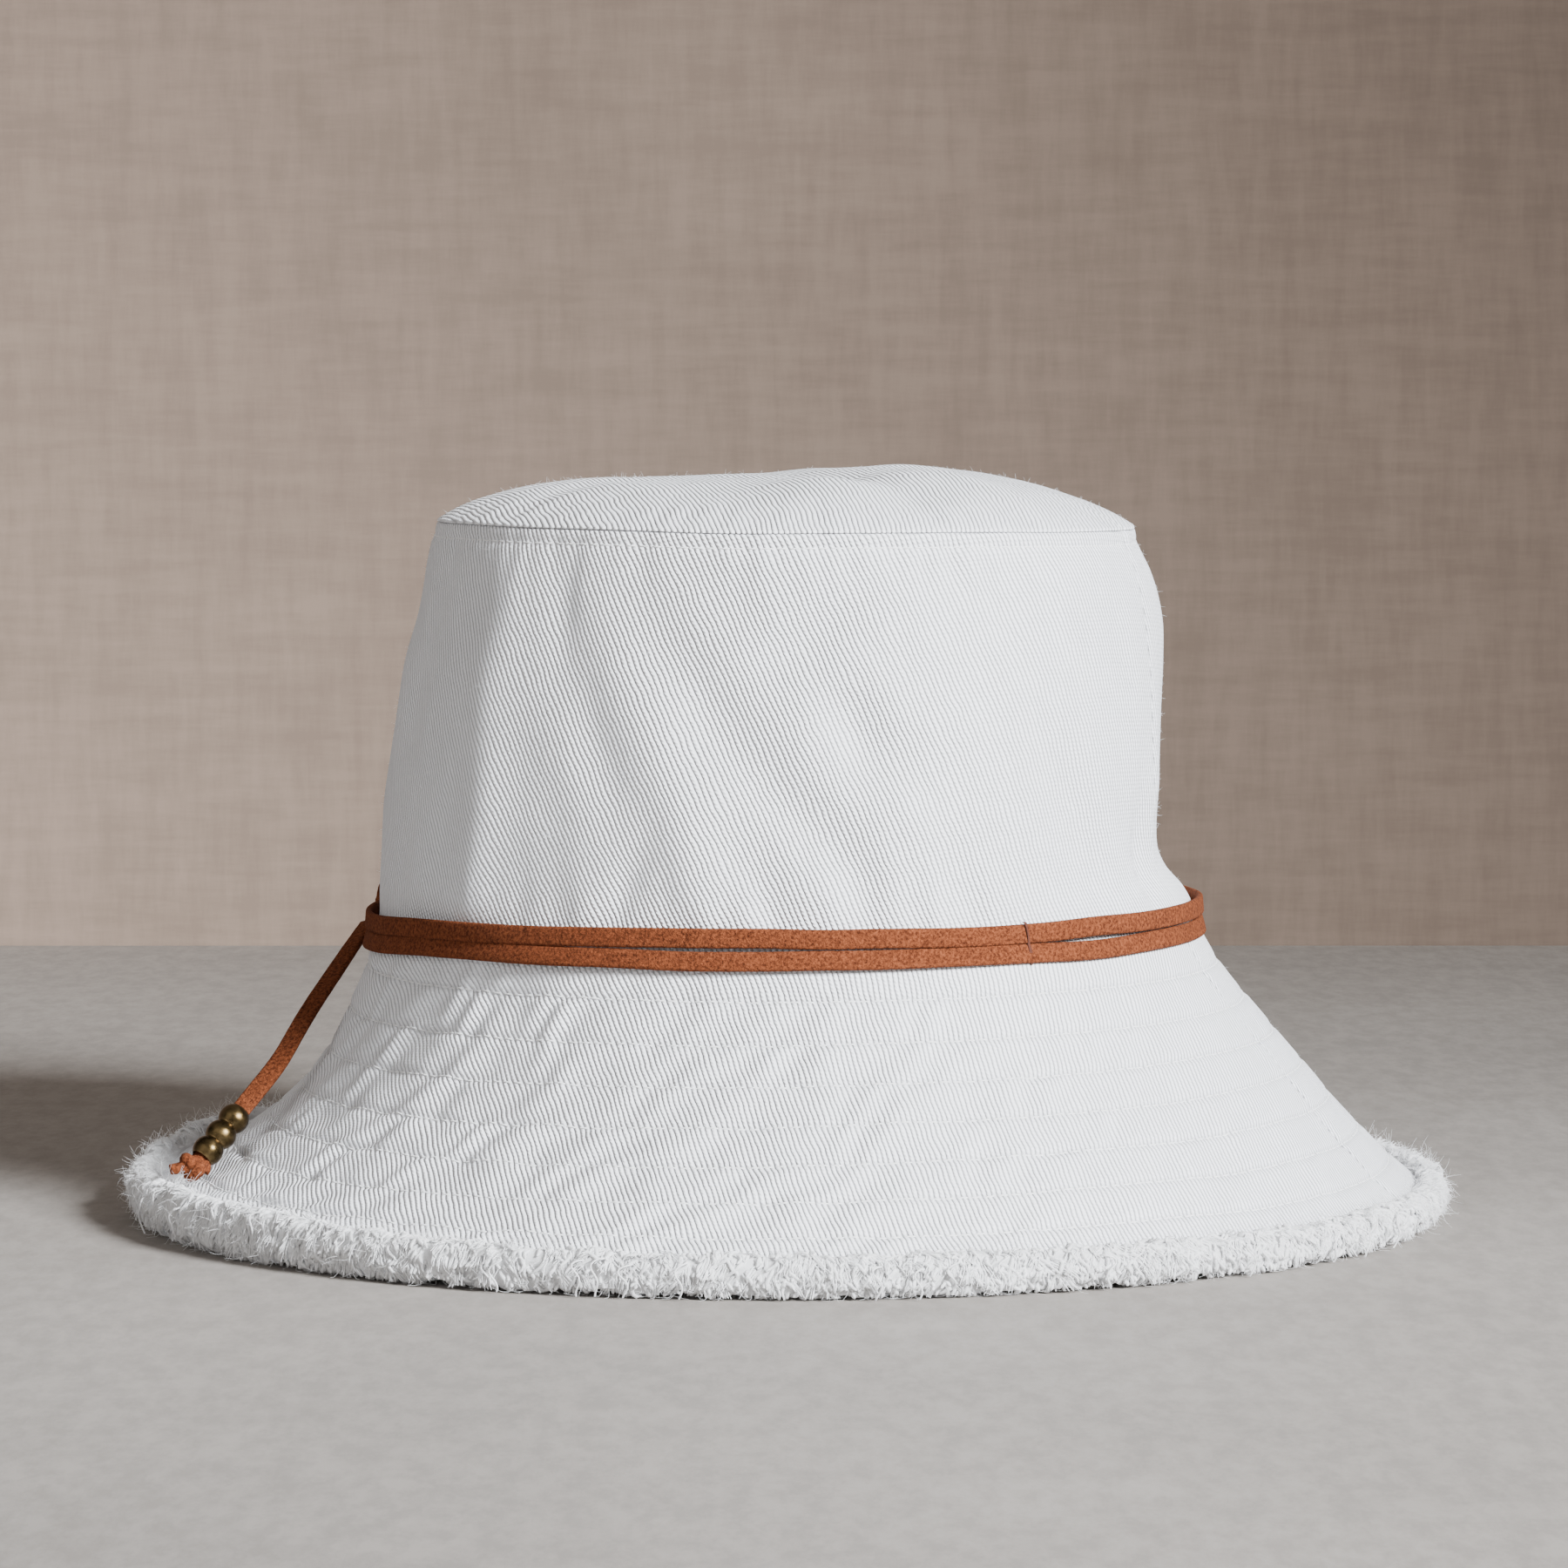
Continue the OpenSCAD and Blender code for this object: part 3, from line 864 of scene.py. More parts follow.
def brass_material():
    """Antiqued brass: dark patina, rubbed bright in scratches and at the rims of the hole."""
    beads = bpy.context.scene.hat_beads
    material, n, shader = new_material("Antique brass", 0.34, metallic=1.0)
    where = n.own_place()
    cloud = n.ramp(n.noise(where, 420.0, 4.0, 0.6), 0.38, 0.66)
    scratches = n.noise(n.stretched(where, (5200.0, 5200.0, 900.0)), 1.0, 3.0, 0.6)
    scratches = n.ramp(scratches, 0.55, 0.75)
    rubbed = n.math("MAXIMUM", n.math("MULTIPLY", cloud, 0.6), n.math("MULTIPLY", scratches, 0.55))
    worn = n.add("ShaderNodeAttribute", attribute_name="rim").outputs["Fac"]
    rubbed = n.math("MINIMUM", n.math("ADD", rubbed, n.math("MULTIPLY", worn, 0.7)), 1.0)
    n.put(n.mix(rubbed, (*beads.patina, 1), (*beads.colour, 1)), shader.inputs["Base Color"])
    n.put(n.math("MULTIPLY_ADD", cloud, 0.14, 0.26), shader.inputs["Roughness"])
    n.put(n.relief(scratches, 0.25, 0.02 * MM), shader.inputs["Normal"])
    return material


def stage_material(name, colour, roughness, axis, painted_light_span, painted_shade_share, weave=False):
    """Plain cloudy floor or woven backdrop.

    Along an axis, between the two places of its span, its colour grows from a dimmed share to full.
    This is painted light: it stands in for the key light's fall-off.
    """
    material, n, shader = new_material(name, roughness)
    where = n.own_place()
    cloud = n.ramp(n.noise(where, 5.0, 6.0, 0.6), 0.3, 0.7)
    along = n.add("ShaderNodeSeparateXYZ", {"Vector": where}).outputs[axis]
    if weave:
        warp = n.noise(n.stretched(where, (170.0, 1.0, 26.0)), 1.0, 5.0, 0.7)
        weft = n.noise(n.stretched(where, (24.0, 1.0, 190.0)), 1.0, 5.0, 0.7)
        grain = n.math("MULTIPLY", n.math("ADD", warp, weft), 0.5)
    else:
        grain = n.noise(n.stretched(where, (150.0, 52.0, 1.0)), 1.0, 6.0, 0.75)
    # Painted light: the colour is dimmed along the axis where the key light falls off.
    light = n.math("MULTIPLY_ADD", n.ramp(along, *painted_light_span), 1 - painted_shade_share, painted_shade_share)
    light = n.math("MULTIPLY", light, n.math("MULTIPLY_ADD", cloud, 0.19, 1.0))
    light = n.math("MULTIPLY", light, n.math("MULTIPLY_ADD", n.ramp(grain, 0.40, 0.60), -0.17, 1.0))
    n.put(n.scaled(colour, light), shader.inputs["Base Color"])
    n.put(n.relief(grain, 0.25, 0.3 * MM), shader.inputs["Normal"])
    if weave:
        behind = n.add("ShaderNodeNewGeometry").outputs["Backfacing"]
        n.blend(behind, shader, n.add("ShaderNodeBsdfTransparent"))
    return material


def shared(name, make):
    """The material of that name, made the first time it is asked for."""
    return bpy.data.materials.get(name) or make()


def twill():
    return shared("White twill", twill_material)


def suede():
    return shared("Tan suede", suede_material)


def cotton(name):
    return shared(name, lambda: cotton_material(name))


# Operators, one for each piece or group of like pieces

class HAT_OT_stage(bpy.types.Operator):
    """Camera, floor, backdrop and soft studio light"""
    bl_idname = "hat.stage"
    bl_label = "Stage"

    def execute(self, context):
        settings = context.scene.hat_stage
        self.camera(context)
        floor = self.sheet("stage_floor", Matrix.Translation((0, 0, -0.05 * MM)))
        # Painted light on the floor: darker towards the near side, -Y.
        paint(floor, stage_material("Pale floor", settings.floor_colour, 0.7, 1, (-0.6, 0.7),
                                    0.655))
        stand = Matrix.Translation((0, 0.66, 0)) @ Matrix.Rotation(math.radians(90), 4, "X")
        wall = self.sheet("stage_backdrop", stand)
        # Painted light on the backdrop: darker towards +X, the right.
        paint(wall, stage_material("Backdrop", settings.wall_colour, 0.95, 0, (0.35, -0.25), 0.58,
                                   weave=True))
        key = self.area_light("key_light", (1.451, -1.476, 1.09), (-0.12, -0.25, 0), 0.75,
                              settings.key_power, (0.94, 0.97, 1.0))
        key.spread = math.radians(52)
        self.area_light("fill_light", (-1.4, -1.9, 1.2), (0, 0, 0.08), 2.2,
                        settings.fill_power, (1.0, 0.98, 0.96))
        self.sky(context)
        return {"FINISHED"}

    def camera(self, context):
        """Long lens 1.5 m from the hat's axis and 0.2 m above the floor."""
        data = bpy.data.cameras.new("camera")
        data.sensor_width = 36
        data.lens = 148.5
        data.clip_start = 0.05
        data.clip_end = 50
        camera = in_scene("camera", data)
        camera.location = (-0.001, -1.5, 0.2)
        camera.rotation_euler = (math.radians(90 - 3.86), 0, 0)
        context.scene.camera = camera

    def sheet(self, name, where):
        """Plane of 8 m by 8 m."""
        bm = bmesh.new()
        bmesh.ops.create_grid(bm, x_segments=1, y_segments=1, size=4.0)
        bmesh.ops.transform(bm, matrix=where, verts=bm.verts)
        return finish_mesh(name, bm)

    def area_light(self, name, place, aim, size, power, colour):
        data = bpy.data.lights.new(name, "AREA")
        data.shape = "DISK"
        data.size = size
        data.energy = power
        data.color = colour
        light = in_scene(name, data)
        light.location = place
        light.rotation_euler = (Vector(aim) - Vector(place)).to_track_quat("-Z", "Y").to_euler()
        return data

    def sky(self, context):
        world = context.scene.world or bpy.data.worlds.new("World")
        context.scene.world = world
        world.use_nodes = True
        background = world.node_tree.nodes["Background"]
        background.inputs["Color"].default_value = (1.0, 0.98, 0.96, 1)
        background.inputs["Strength"].default_value = 0.33


class HAT_OT_tail(bpy.types.Operator):
    """Flat suede tail that hangs from the knot, with its stopper knot"""
    bl_idname = "hat.tail"
    bl_label = "Cord tail"

    def execute(self, context):
        settings = context.scene.hat_cord
        route = [Vector(point) for point in TAIL_ROUTE]
        path = smooth_path(route, 0.7 * MM)
        for _ in range(60):
            path[1:-1] = [(before + after + point * 2) / 4
                          for before, point, after in zip(path, path[1:], path[2:])]

        def facing(share):
            turn = math.radians(-8 + 16 * math.sin(share * 5))
            return Vector((-0.45 + math.sin(turn) * 0.25, -1, 0.08))

        across, outs = frames_along(path, facing)
        tail = ribbon_piece("cord_tail_suede", path, across, outs,
                            settings.width, settings.thickness, 3)
        place_piece(tail, "tail", suede(), "suede", "cord_tail")
        knot = self.stopper_knot(route[-1])
        place_piece(knot, "tail", suede(), "suede", "tail_end_knot")
        bpy.ops.hat.beads()
        length = sum((after - before).length for before, after in zip(path, path[1:]))
        tuple(route[0])
        return {"FINISHED"}

    def stopper_knot(self, middle):
        """Overhand knot pulled tight, with the cord's cut end sticking out to the left."""
        size = 1.75 * MM
        line = []
        for step in range(25):
            turn = TURN * (step / 24) * 0.92 + 0.6
            line.append(Vector((math.sin(turn) + 1.5 * math.sin(2 * turn),
                                math.cos(turn) - 1.5 * math.cos(2 * turn),
                                -1.15 * math.sin(3 * turn))) * size * 0.62)
        tilt = Matrix.Rotation(math.radians(35), 3, "X") @ Matrix.Rotation(math.radians(20), 3, "Y")
        loops = [(middle + tilt @ point, 1.0) for point in line]
        stub = [(middle + Vector(step) * MM, share) for step, share in (
            ((0, 0, 0), 1.0), ((-2.4, -0.6, -0.1), 1.0), ((-4.4, -1.0, -0.4), 0.92),
            ((-5.6, -1.2, -0.7), 0.85))]
        lump = tubes_piece("tail_end_knot_suede", [loops, stub], 3.0 * MM, sides_step=2)
        return melt(lump, 0.28 * MM, 0.16 * MM)


def melt(piece, voxel, roughen):
    """Melts overlapping tubes into one skin and roughens it a little."""
    remesh = piece.modifiers.new("Melt", "REMESH")
    remesh.mode = "VOXEL"
    remesh.voxel_size = voxel
    remesh.use_smooth_shade = True
    mesh = evaluated_mesh(piece)
    piece.modifiers.clear()
    old = piece.data
    piece.data = mesh
    bpy.data.meshes.remove(old)
    with editing(mesh) as bm:
        bmesh.ops.smooth_vert(bm, verts=bm.verts, factor=0.5,
                              use_axis_x=True, use_axis_y=True, use_axis_z=True)
        bm.normal_update()
        for vert in bm.verts:
            vert.co += vert.normal * roughen * noise.noise(vert.co / (1.1 * MM))
    return piece


class HAT_OT_beads(bpy.types.Operator):
    """Three antiqued brass beads on the tail"""
    bl_idname = "hat.beads"
    bl_label = "Brass beads"

    def execute(self, context):
        material = shared("Antique brass", brass_material)
        up = (Vector(TAIL_ROUTE[10]) - Vector(TAIL_ROUTE[-1])).normalized()
        for place in ("lower", "middle", "upper"):
            low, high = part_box("bead_" + place)
            bead = self.bead("bead_" + place + "_brass", (low + high) / 2, up, (high.x - low.x) / 2)
            place_piece(bead, place + "_bead", material, "brass", "bead_" + place)
        return {"FINISHED"}

    def bead(self, name, middle, up, radius):
        """Round bead with a rolled rim at each end of its hole."""
        hole = radius * 0.7
        half = math.sqrt(radius ** 2 - hole ** 2)
        outline = []
        for step in range(17):
            turn = math.radians(-44 + 88 * step / 16)
            outline.append((radius * math.cos(turn), radius * math.sin(turn)))
        lip = 0.16 * MM
        outline += [(hole + lip * 0.3, half + lip * 0.15), (hole, half - lip * 0.6), (hole, 0),
                    (hole, -half + lip * 0.6), (hole + lip * 0.3, -half - lip * 0.15)]
        bm = bmesh.new()
        verts = [bm.verts.new((r, 0, z)) for r, z in outline]
        edges = [bm.edges.new((a, b)) for a, b in zip(verts, verts[1:] + verts[:1])]
        bmesh.ops.spin(bm, geom=verts + edges, cent=(0, 0, 0), axis=(0, 0, 1), angle=TURN, steps=48,
                       use_merge=True, use_duplicate=False)
        bmesh.ops.remove_doubles(bm, verts=bm.verts, dist=0.001 * MM)
        bmesh.ops.recalc_face_normals(bm, faces=bm.faces)
        rim = bm.verts.layers.float.new("rim")
        for vert in bm.verts:
            vert[rim] = bump(math.hypot(vert.co.x, vert.co.y) - hole, 0.35 * MM)
        for face in bm.faces:
            face.smooth = True
        turn = up.to_track_quat("Z", "Y").to_matrix().to_4x4()
        bmesh.ops.transform(bm, matrix=Matrix.Translation(middle) @ turn, verts=bm.verts)
        return finish_mesh(name, bm)


class HAT_OT_cord_turns(bpy.types.Operator):
    """The cord's two turns round the hat, the knot, its cut end and the thread tacks"""
    bl_idname = "hat.cord_turns"
    bl_label = "Cord turns"

    # The turns are pulled tight, which narrows the cord
    NARROWED = 0.93

    # Where the two turns stand apart: degrees round, half width in degrees, gap in millimetres
    GAPS = ((-14, 8, 0.85), (-3, 6, 0.60), (12, 7, 0.35), (45, 8, 0.55), (78, 9, 0.15),
            (120, 14, 0.6), (160, 12, 0.4), (-160, 16, 0.6), (-128, 10, 0.3))

    def execute(self, context):
        settings = context.scene.hat_cord
        low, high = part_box("cord_lower_turn")
        self.middle_z = (low.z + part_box("cord_upper_turn")[1].z) / 2
        self.width = settings.width * self.NARROWED
        for name, side, seed in (("upper", 1, 11), ("lower", -1, 17)):
            turn = self.turn("cord_" + name + "_turn_suede", side, seed)
            place_piece(turn, "hat", suede(), "suede", "cord_" + name + "_turn")
        self.knot()
        self.cut_end()
        for name, angle in (("front", TACK_ANGLE), ("back", TACK_ANGLE - math.pi)):
            self.tack("thread_tack_" + name, angle)
        return {"FINISHED"}

    def spot(self, angle, side):
        """Middle of a turn at an angle, with the directions across it and out of it."""
        pinch = max(bump(angle_between(angle, place), math.radians(5))
                    for place in (TACK_ANGLE, TACK_ANGLE - math.pi, KNOT_ANGLE))
        open_at = sum(rise * bump(angle_between(angle, math.radians(place)), math.radians(width))
                      for place, width, rise in self.GAPS)
        gap = (open_at - 0.12) * MM * (1 - pinch)
        sag = 0.35 * MM * math.sin(angle)
        sag -= 2.8 * MM * bump(angle_between(angle, math.radians(-88)), 0.47)
        sag += 0.35 * MM * undulation(angle, side * 0.01, 26 * MM, 22)
        height = self.middle_z + side * (self.width / 2 + gap / 2) + sag
        radius = FOOT_R + 1.25 * MM - 0.6 * MM * pinch
        radius += 0.25 * MM * undulation(angle, side, 20 * MM, 23)
        tilt = math.radians(4 if side > 0 else 15)
        out = around(angle, 1, 0) * math.cos(tilt) + Vector((0, 0, math.sin(tilt)))
        up = Vector((0, 0, math.cos(tilt))) - around(angle, 1, 0) * math.sin(tilt)
        radius -= (1.2 * MM * max(0.0, math.sin(angle)) ** 2
                   - 0.6 * MM * max(0.0, -math.sin(angle)) ** 2)
        if side < 0:
            radius += 0.35 * MM
        return around(angle, radius, height), up, out

    def turn(self, name, side, seed):
        settings = bpy.context.scene.hat_cord
        count = 420
        spots = [self.spot(TURN * step / count, side) for step in range(count)]
        centres = [spot[0] for spot in spots]
        return ribbon_piece(name, centres, [spot[1] for spot in spots], [spot[2] for spot in spots],
                            self.width, settings.thickness, seed, closed=True)

    def knot(self):
        """Half knot over both turns, pulled tight against the hat."""
        middle = around(KNOT_ANGLE, FOOT_R + 4.0 * MM, self.middle_z - 0.3 * MM)
        out = around(KNOT_ANGLE, 1, 0)
        side = out.cross(Vector((0, 0, 1)))
        loops = []
        for flip in (1, -1):
            line = []
            for step in range(15):
                turn = math.pi * step / 14
                height = math.cos(turn) * 4.9 * MM
                point = middle + Vector((0, 0, height)) + out * (math.sin(turn) * 1.7 - 2.2) * MM
                line.append((point + side * flip * (1.3 * math.cos(turn * 1.5)) * MM, 1.0))
            loops.append(line)
        knot = tubes_piece("cord_knot_suede", loops, 2.7 * MM, sides_step=2)
        place_piece(melt(knot, 0.3 * MM, 0.15 * MM), "hat", suede(), "suede", "cord_knot")

    def cut_end(self):
        """The cord's other end, cut to a point and standing up beside the knot."""
        settings = bpy.context.scene.hat_cord
        route = ((KNOT_ANGLE - 0.02, 2.9, -1.0), (KNOT_ANGLE - 0.035, 3.1, 2.5),
                 (KNOT_ANGLE - 0.03, 2.6, 6.0), (KNOT_ANGLE + 0.01, 1.2, 10.2))
        path = smooth_path([around(angle, FOOT_R + reach * MM, self.middle_z + height * MM)
                            for angle, reach, height in route], 0.6 * MM)
        across, outs = frames_along(path, around(KNOT_ANGLE, 1, 0))
        end = ribbon_piece("cord_cut_end_suede", path, across, outs, settings.width * 0.9,
                           settings.thickness * 0.9, 29)
        root, tip = path[0], path[-1]
        length = (tip - root).length
        for vert in end.data.vertices:
            share = (vert.co - root).dot(tip - root) / length ** 2
            keep = max(0.12, min(1.0, (1 - share) / 0.5))
            middle = root.lerp(tip, share)
            vert.co = middle + (vert.co - middle) * keep
        place_piece(end, "hat", suede(), "suede", "cord_cut_end")

    def tack(self, name, angle):
        """A few strands of tan thread that bind both turns."""
        strands = []
        maker = random.Random(name)
        middle = (self.spot(angle, 1)[0] + self.spot(angle, -1)[0]) / 2
        reach = math.hypot(middle.x, middle.y)
        for strand in range(3):
            shift = (strand - 1) * 0.17 * MM
            line = []
            for step in range(17):
                turn = math.pi * step / 16
                height = middle.z + math.cos(turn) * 4.75 * MM
                face = 1.05 * math.sin(turn) ** 0.3 - 0.35 * bump(height - middle.z, 0.8 * MM)
                lean = -0.9 * math.cos(turn) * MM + shift * (1 + 0.6 * math.cos(turn * 3))
                line.append((around(angle + lean / FOOT_R, reach - 0.2 * MM + face * MM, height),
                             0.9 + 0.2 * maker.random()))
            strands.append(line)
        tack = tubes_piece(name + "_strands", strands, 0.30 * MM, sides_step=1)
        place_piece(tack, "hat", cotton("Tan thread"), "tan_thread", name)


class HAT_OT_crown(bpy.types.Operator):
    """Tip panel and the two side panels of the crown"""
    bl_idname = "hat.crown"
    bl_label = "Crown"

    def execute(self, context):
        spread = (FOOT_R - TIP_R) / CROWN_H
        for name, start in (("front", SEAM_ANGLE - math.pi), ("back", SEAM_ANGLE)):
            def place(across, up, start=start):
                return crown_place(start + across * math.pi, up)

            def pattern(across, up, start=start):
                angle = start + across * math.pi
                if name == "front":
                    angle = angle_between(angle, 0)
                return cone_pattern(angle, FOOT_R - (FOOT_R - TIP_R) * up, spread)

            panel = grid_piece("crown_panel_" + name + "_twill", 260, 136, place, pattern)
            outward(panel)
            thicken(panel, CLOTH)
            place_piece(panel, "hat", twill(), "twill", "crown_panel_" + name)
        grain = Matrix.Rotation(TIP_GRAIN, 3, "Z")
        tip = grid_piece("crown_tip_twill", 216, 216, lambda *spot: tip_place(*disc_spot(*spot)),
                         lambda *spot: grain @ tip_place(*disc_spot(*spot)))
        outward(tip)
        thicken(tip, CLOTH)
        place_piece(tip, "hat", twill(), "twill", "crown_tip")
        return {"FINISHED"}


class HAT_OT_lining(bpy.types.Operator):
    """Sweatband, seam tapes and the blank care label inside the crown"""
    bl_idname = "hat.lining"
    bl_label = "Inside of the crown"

    def execute(self, context):
        band_top = (BAND_TOP_Z - SEAM_Z) / CROWN_H
        self.layer("sweatband_tape", "sweatband", 0, TURN, 0.01, band_top,
                   1.6 * MM, 0.7 * MM, 300, 34)
        flange = 1 - 9.0 * MM / CROWN_H
        self.layer("tip_seam_tape_cloth", "tip_seam_tape", 0, TURN, flange, 0.97,
                   1.4 * MM, 0.6 * MM, 300, 12)
        half = math.radians(3.5)
        for side, angle in (("right", SEAM_ANGLE), ("left", SEAM_ANGLE - math.pi)):
            name = "side_seam_tape_" + side
            self.layer(name + "_cloth", name, angle - half, angle + half, band_top + 0.01,
                       flange - 0.01, 1.15 * MM, 0.6 * MM, 14, 60)
        label = SEAM_ANGLE + math.pi / 2
        half = math.radians(6)
        self.layer("care_label_blank", "care_label", label - half, label + half,
                   band_top + 0.02, band_top + 0.235, 1.15 * MM, 0.5 * MM, 16, 20)
        return {"FINISHED"}

    def layer(self, name, node, start, end, low, high, depth, thickness, columns, rows):
        """Band of cloth that follows the crown's inside."""
        def place(across, up):
            return crown_place(start + across * (end - start), low + up * (high - low), depth)

        def pattern(across, up):
            return ((start + across * (end - start)) * FOOT_R, (low + up * (high - low)) * CROWN_H)

        band = grid_piece(name, columns, rows, place, pattern, weld=end - start > 6)
        outward(band)
        thicken(band, thickness)
        place_piece(band, "hat", cotton("Cotton tape"), "tape", node)


class HAT_OT_brim(bpy.types.Operator):
    """Upper and under plies of the brim, with the interfacing between them"""
    bl_idname = "hat.brim"
    bl_label = "Brim"

    def execute(self, context):
        for name, start in (("front", SEAM_ANGLE - math.pi), ("back", SEAM_ANGLE)):
            self.ply("brim_upper_" + name, start, math.pi, 0, CLOTH, 340, 118, twill(), "twill")
            self.ply("brim_under_" + name, start, math.pi, BRIM_DEPTH - CLOTH, CLOTH, 200, 60,
                     twill(), "twill")
        self.ply("brim_interfacing", 0, TURN, CLOTH + PLY_GAP, 0.4 * MM, 200, 24,
                 cotton("Cotton tape"), "tape")
        return {"FINISHED"}

    def ply(self, node, start, sweep, depth, thickness, columns, rows, material, slot):
        """One ply, at a depth under the brim's outer face. Interfacing ends short of the edges."""
        inset = 1.5 * MM if node == "brim_interfacing" else 0
        spread = math.cos((TOP_SLOPE + EDGE_SLOPE) / 2)

        def distance_at(up):
            return BRIM_LEN - inset - up * (BRIM_LEN - 2 * inset)

        def place(across, up):
            return brim_place(start + across * sweep, distance_at(up), depth)

        def pattern(across, up):
            radius = FOOT_R + (1 - up) * BRIM_LEN * spread
            return cone_pattern(start + across * sweep, radius, spread, BRIM_GRAIN)

        # Mask of the rows of stitching, along which the twill material paints shade.
        def sewn(across, up):
            return bump(min(abs(distance_at(up) - row) for row in STITCH_ROWS), 0.55 * MM)

        ply = grid_piece(node + "_cloth", columns, rows, place, pattern, sweep > 6, sewn)
        outward(ply, Vector((0, 0, -0.05)))
        thicken(ply, thickness)
        place_piece(ply, "hat", material, slot, node)


class HAT_OT_stitching(bpy.types.Operator):
    """Rows of white thread on the brim and under the tip seam"""
    bl_idname = "hat.stitching"
    bl_label = "Stitching"

    def execute(self, context):
        rows = []
        for distance in STITCH_ROWS:
            radius = FOOT_R + distance * BRIM_RADIUS_GAIN
            rows += self.row(radius, lambda angle, out, d=distance: brim_place(angle, d, -out))
        stitches = tubes_piece("brim_stitch_rows_thread", rows, STITCH_THICKNESS)
        place_piece(stitches, "hat", cotton("White thread"), "thread", "brim_stitch_rows")
        share = 1 - 3.4 * MM / CROWN_H
        ring = self.row(TIP_R, lambda angle, out: crown_place(angle, share, -out))
        topstitch = tubes_piece("crown_topstitch_thread", ring, STITCH_THICKNESS)
        place_piece(topstitch, "hat", cotton("White thread"), "thread", "crown_topstitch")
        return {"FINISHED"}

    def row(self, radius, place):
        """One row of stitches: each dives into the cloth at both ends."""
        count = round(TURN * radius / STITCH_LENGTH)
        stitches = []
        for index in range(count):
            points = []
            for share, out, thick in ((0.06, -0.25, 0.7), (0.2, 0.0, 1.0), (0.5, 0.07, 1.0),
                                      (0.8, 0.0, 1.0), (0.94, -0.25, 0.7)):
                points.append((place(TURN * (index + share) / count, out * MM), thick))
            stitches.append(points)
        return stitches


class HAT_OT_fray(bpy.types.Operator):
    """Soft roll of loose yarns along the brim's raw edge"""
    bl_idname = "hat.fray"
    bl_label = "Frayed edge"

    NODES = ("frayed_edge_upper", "frayed_edge_under")
    STEPS = 900
    SECTORS = 6
    STRAYS = 80
    DOWN = 4600

    def execute(self, context):
        settings = context.scene.hat_fray
        self.middles = [self.middle_at(TURN * step / self.STEPS) for step in range(self.STEPS)]
        core = grid_piece("frayed_edge_core", 1250, 30, self.core_place, weld=True)
        with editing(core.data) as bm:
            bmesh.ops.recalc_face_normals(bm, faces=bm.faces)
        place_piece(core, "hat", cotton("Loose yarn"), "fray", *self.NODES)
        for sector in range(self.SECTORS):
            maker = random.Random(40 + sector)
            lines = []
            for _ in range(settings.tufts // self.SECTORS):
                lines += self.tuft(self.spot(sector, maker), maker, settings)
            for _ in range(settings.curls // self.SECTORS):
                lines.append(self.curl(self.spot(sector, maker), maker))
                lines.append(self.nub(self.spot(sector, maker), maker))
            piece = tubes_piece("frayed_edge_yarns_%d" % (sector + 1), lines, settings.thickness)
            place_piece(piece, "hat", cotton("Loose yarn"), "fray", *self.NODES)
        maker = random.Random(99)
        strays = [self.stray(TURN * maker.random(), maker) for _ in range(self.STRAYS)]
        piece = tubes_piece("frayed_edge_strays", strays, 0.4 * MM, sides_step=1)
        place_piece(piece, "hat", cotton("Loose yarn"), "fray")
        down = [self.down(TURN * maker.random(), maker) for _ in range(self.DOWN)]
        piece = tubes_piece("frayed_edge_down", down, 0.08 * MM)
        place_piece(piece, "hat", cotton("Loose yarn"), "fray")
        return {"FINISHED"}

    def spot(self, sector, maker):
        """A random angle in a sector of the brim."""
        return TURN * (sector + maker.random()) / self.SECTORS

    def middle(self, angle):
        """Middle of the roll of yarns, between the steps at which it was worked out."""
        place = angle / TURN * self.STEPS
        step = math.floor(place)
        before, after = (self.middles[index % self.STEPS] for index in (step, step + 1))
        return before.lerp(after, place - step)

    def middle_at(self, angle):
        """Middle of the roll of yarns, beside the brim's cut edge."""
        edge = brim_place(angle, BRIM_LEN, BRIM_DEPTH / 2)
        reach = math.hypot(edge.x, edge.y) + (2.4 + 0.5 * undulation(angle, 0.2, 12 * MM, 33)) * MM
        return around(angle, reach, edge.z - 0.5 * MM)

    def skin(self, angle, turn, grow=0.0):
        """Point of the roll's skin. A turn of 0 faces outwards and a quarter turn faces up."""
        middle = self.middle(angle)
        flat = Vector((middle.x, middle.y, 0)).normalized()
        full = 1.5 * MM * bump(angle_between(angle, math.radians(-62)), math.radians(34))
        swell = 0.9 * undulation(angle, 0.1 + 0.012 * math.sin(turn), 5 * MM, 34) * MM
        swell += 0.75 * undulation(angle, 0.3 + 0.008 * math.cos(turn), 2.2 * MM, 35) * MM
        wide, high = 3.1 * MM + swell + grow + 0.3 * full, 3.9 * MM + swell + grow + full
        rise = Vector((0, 0, 0.8 * full + high * math.sin(turn)))
        point = middle + flat * wide * math.cos(turn) + rise
        point.z = max(point.z, 0.5 * MM)
        return point

    def core_place(self, across, up):
        return self.skin(across * TURN, up * TURN)

    def tuft(self, angle, maker, settings):
        """Fine yarns combed the same way over the roll's skin."""
        face = math.radians(maker.uniform(-15, 140))
        lay = maker.gauss(0, 0.35) + 1.1 * undulation(angle, 0.4 + 0.01 * face, 8 * MM, 32)
        curl = maker.gauss(0, 0.35)
        length = settings.length * maker.uniform(0.7, 1.15)
        loose = maker.choice((0.4, 0.7, 1.1, 1.8))
        yarns = []
        for _ in range(7):
            here = angle + maker.gauss(0, 0.55 * MM) / FRAY_R
            turn = face + maker.gauss(0, 0.14)
            end = maker.uniform(0.8, 1.1)
            line = []
            for step, (lift, thick) in enumerate(((-0.5, 0.7), (0.2, 1.0), (0.42, 1.05),
                                                  (0.5, 0.9), (loose, 0.4))):
                share = step / 4 * end
                shift = (lay + curl * share) * share * length
                bent = turn - share * length / (3.9 * MM)
                spot = self.skin(here + shift / FRAY_R, bent, lift * MM)
                line.append((self.held(spot), thick))
            yarns.append(line)
        return yarns

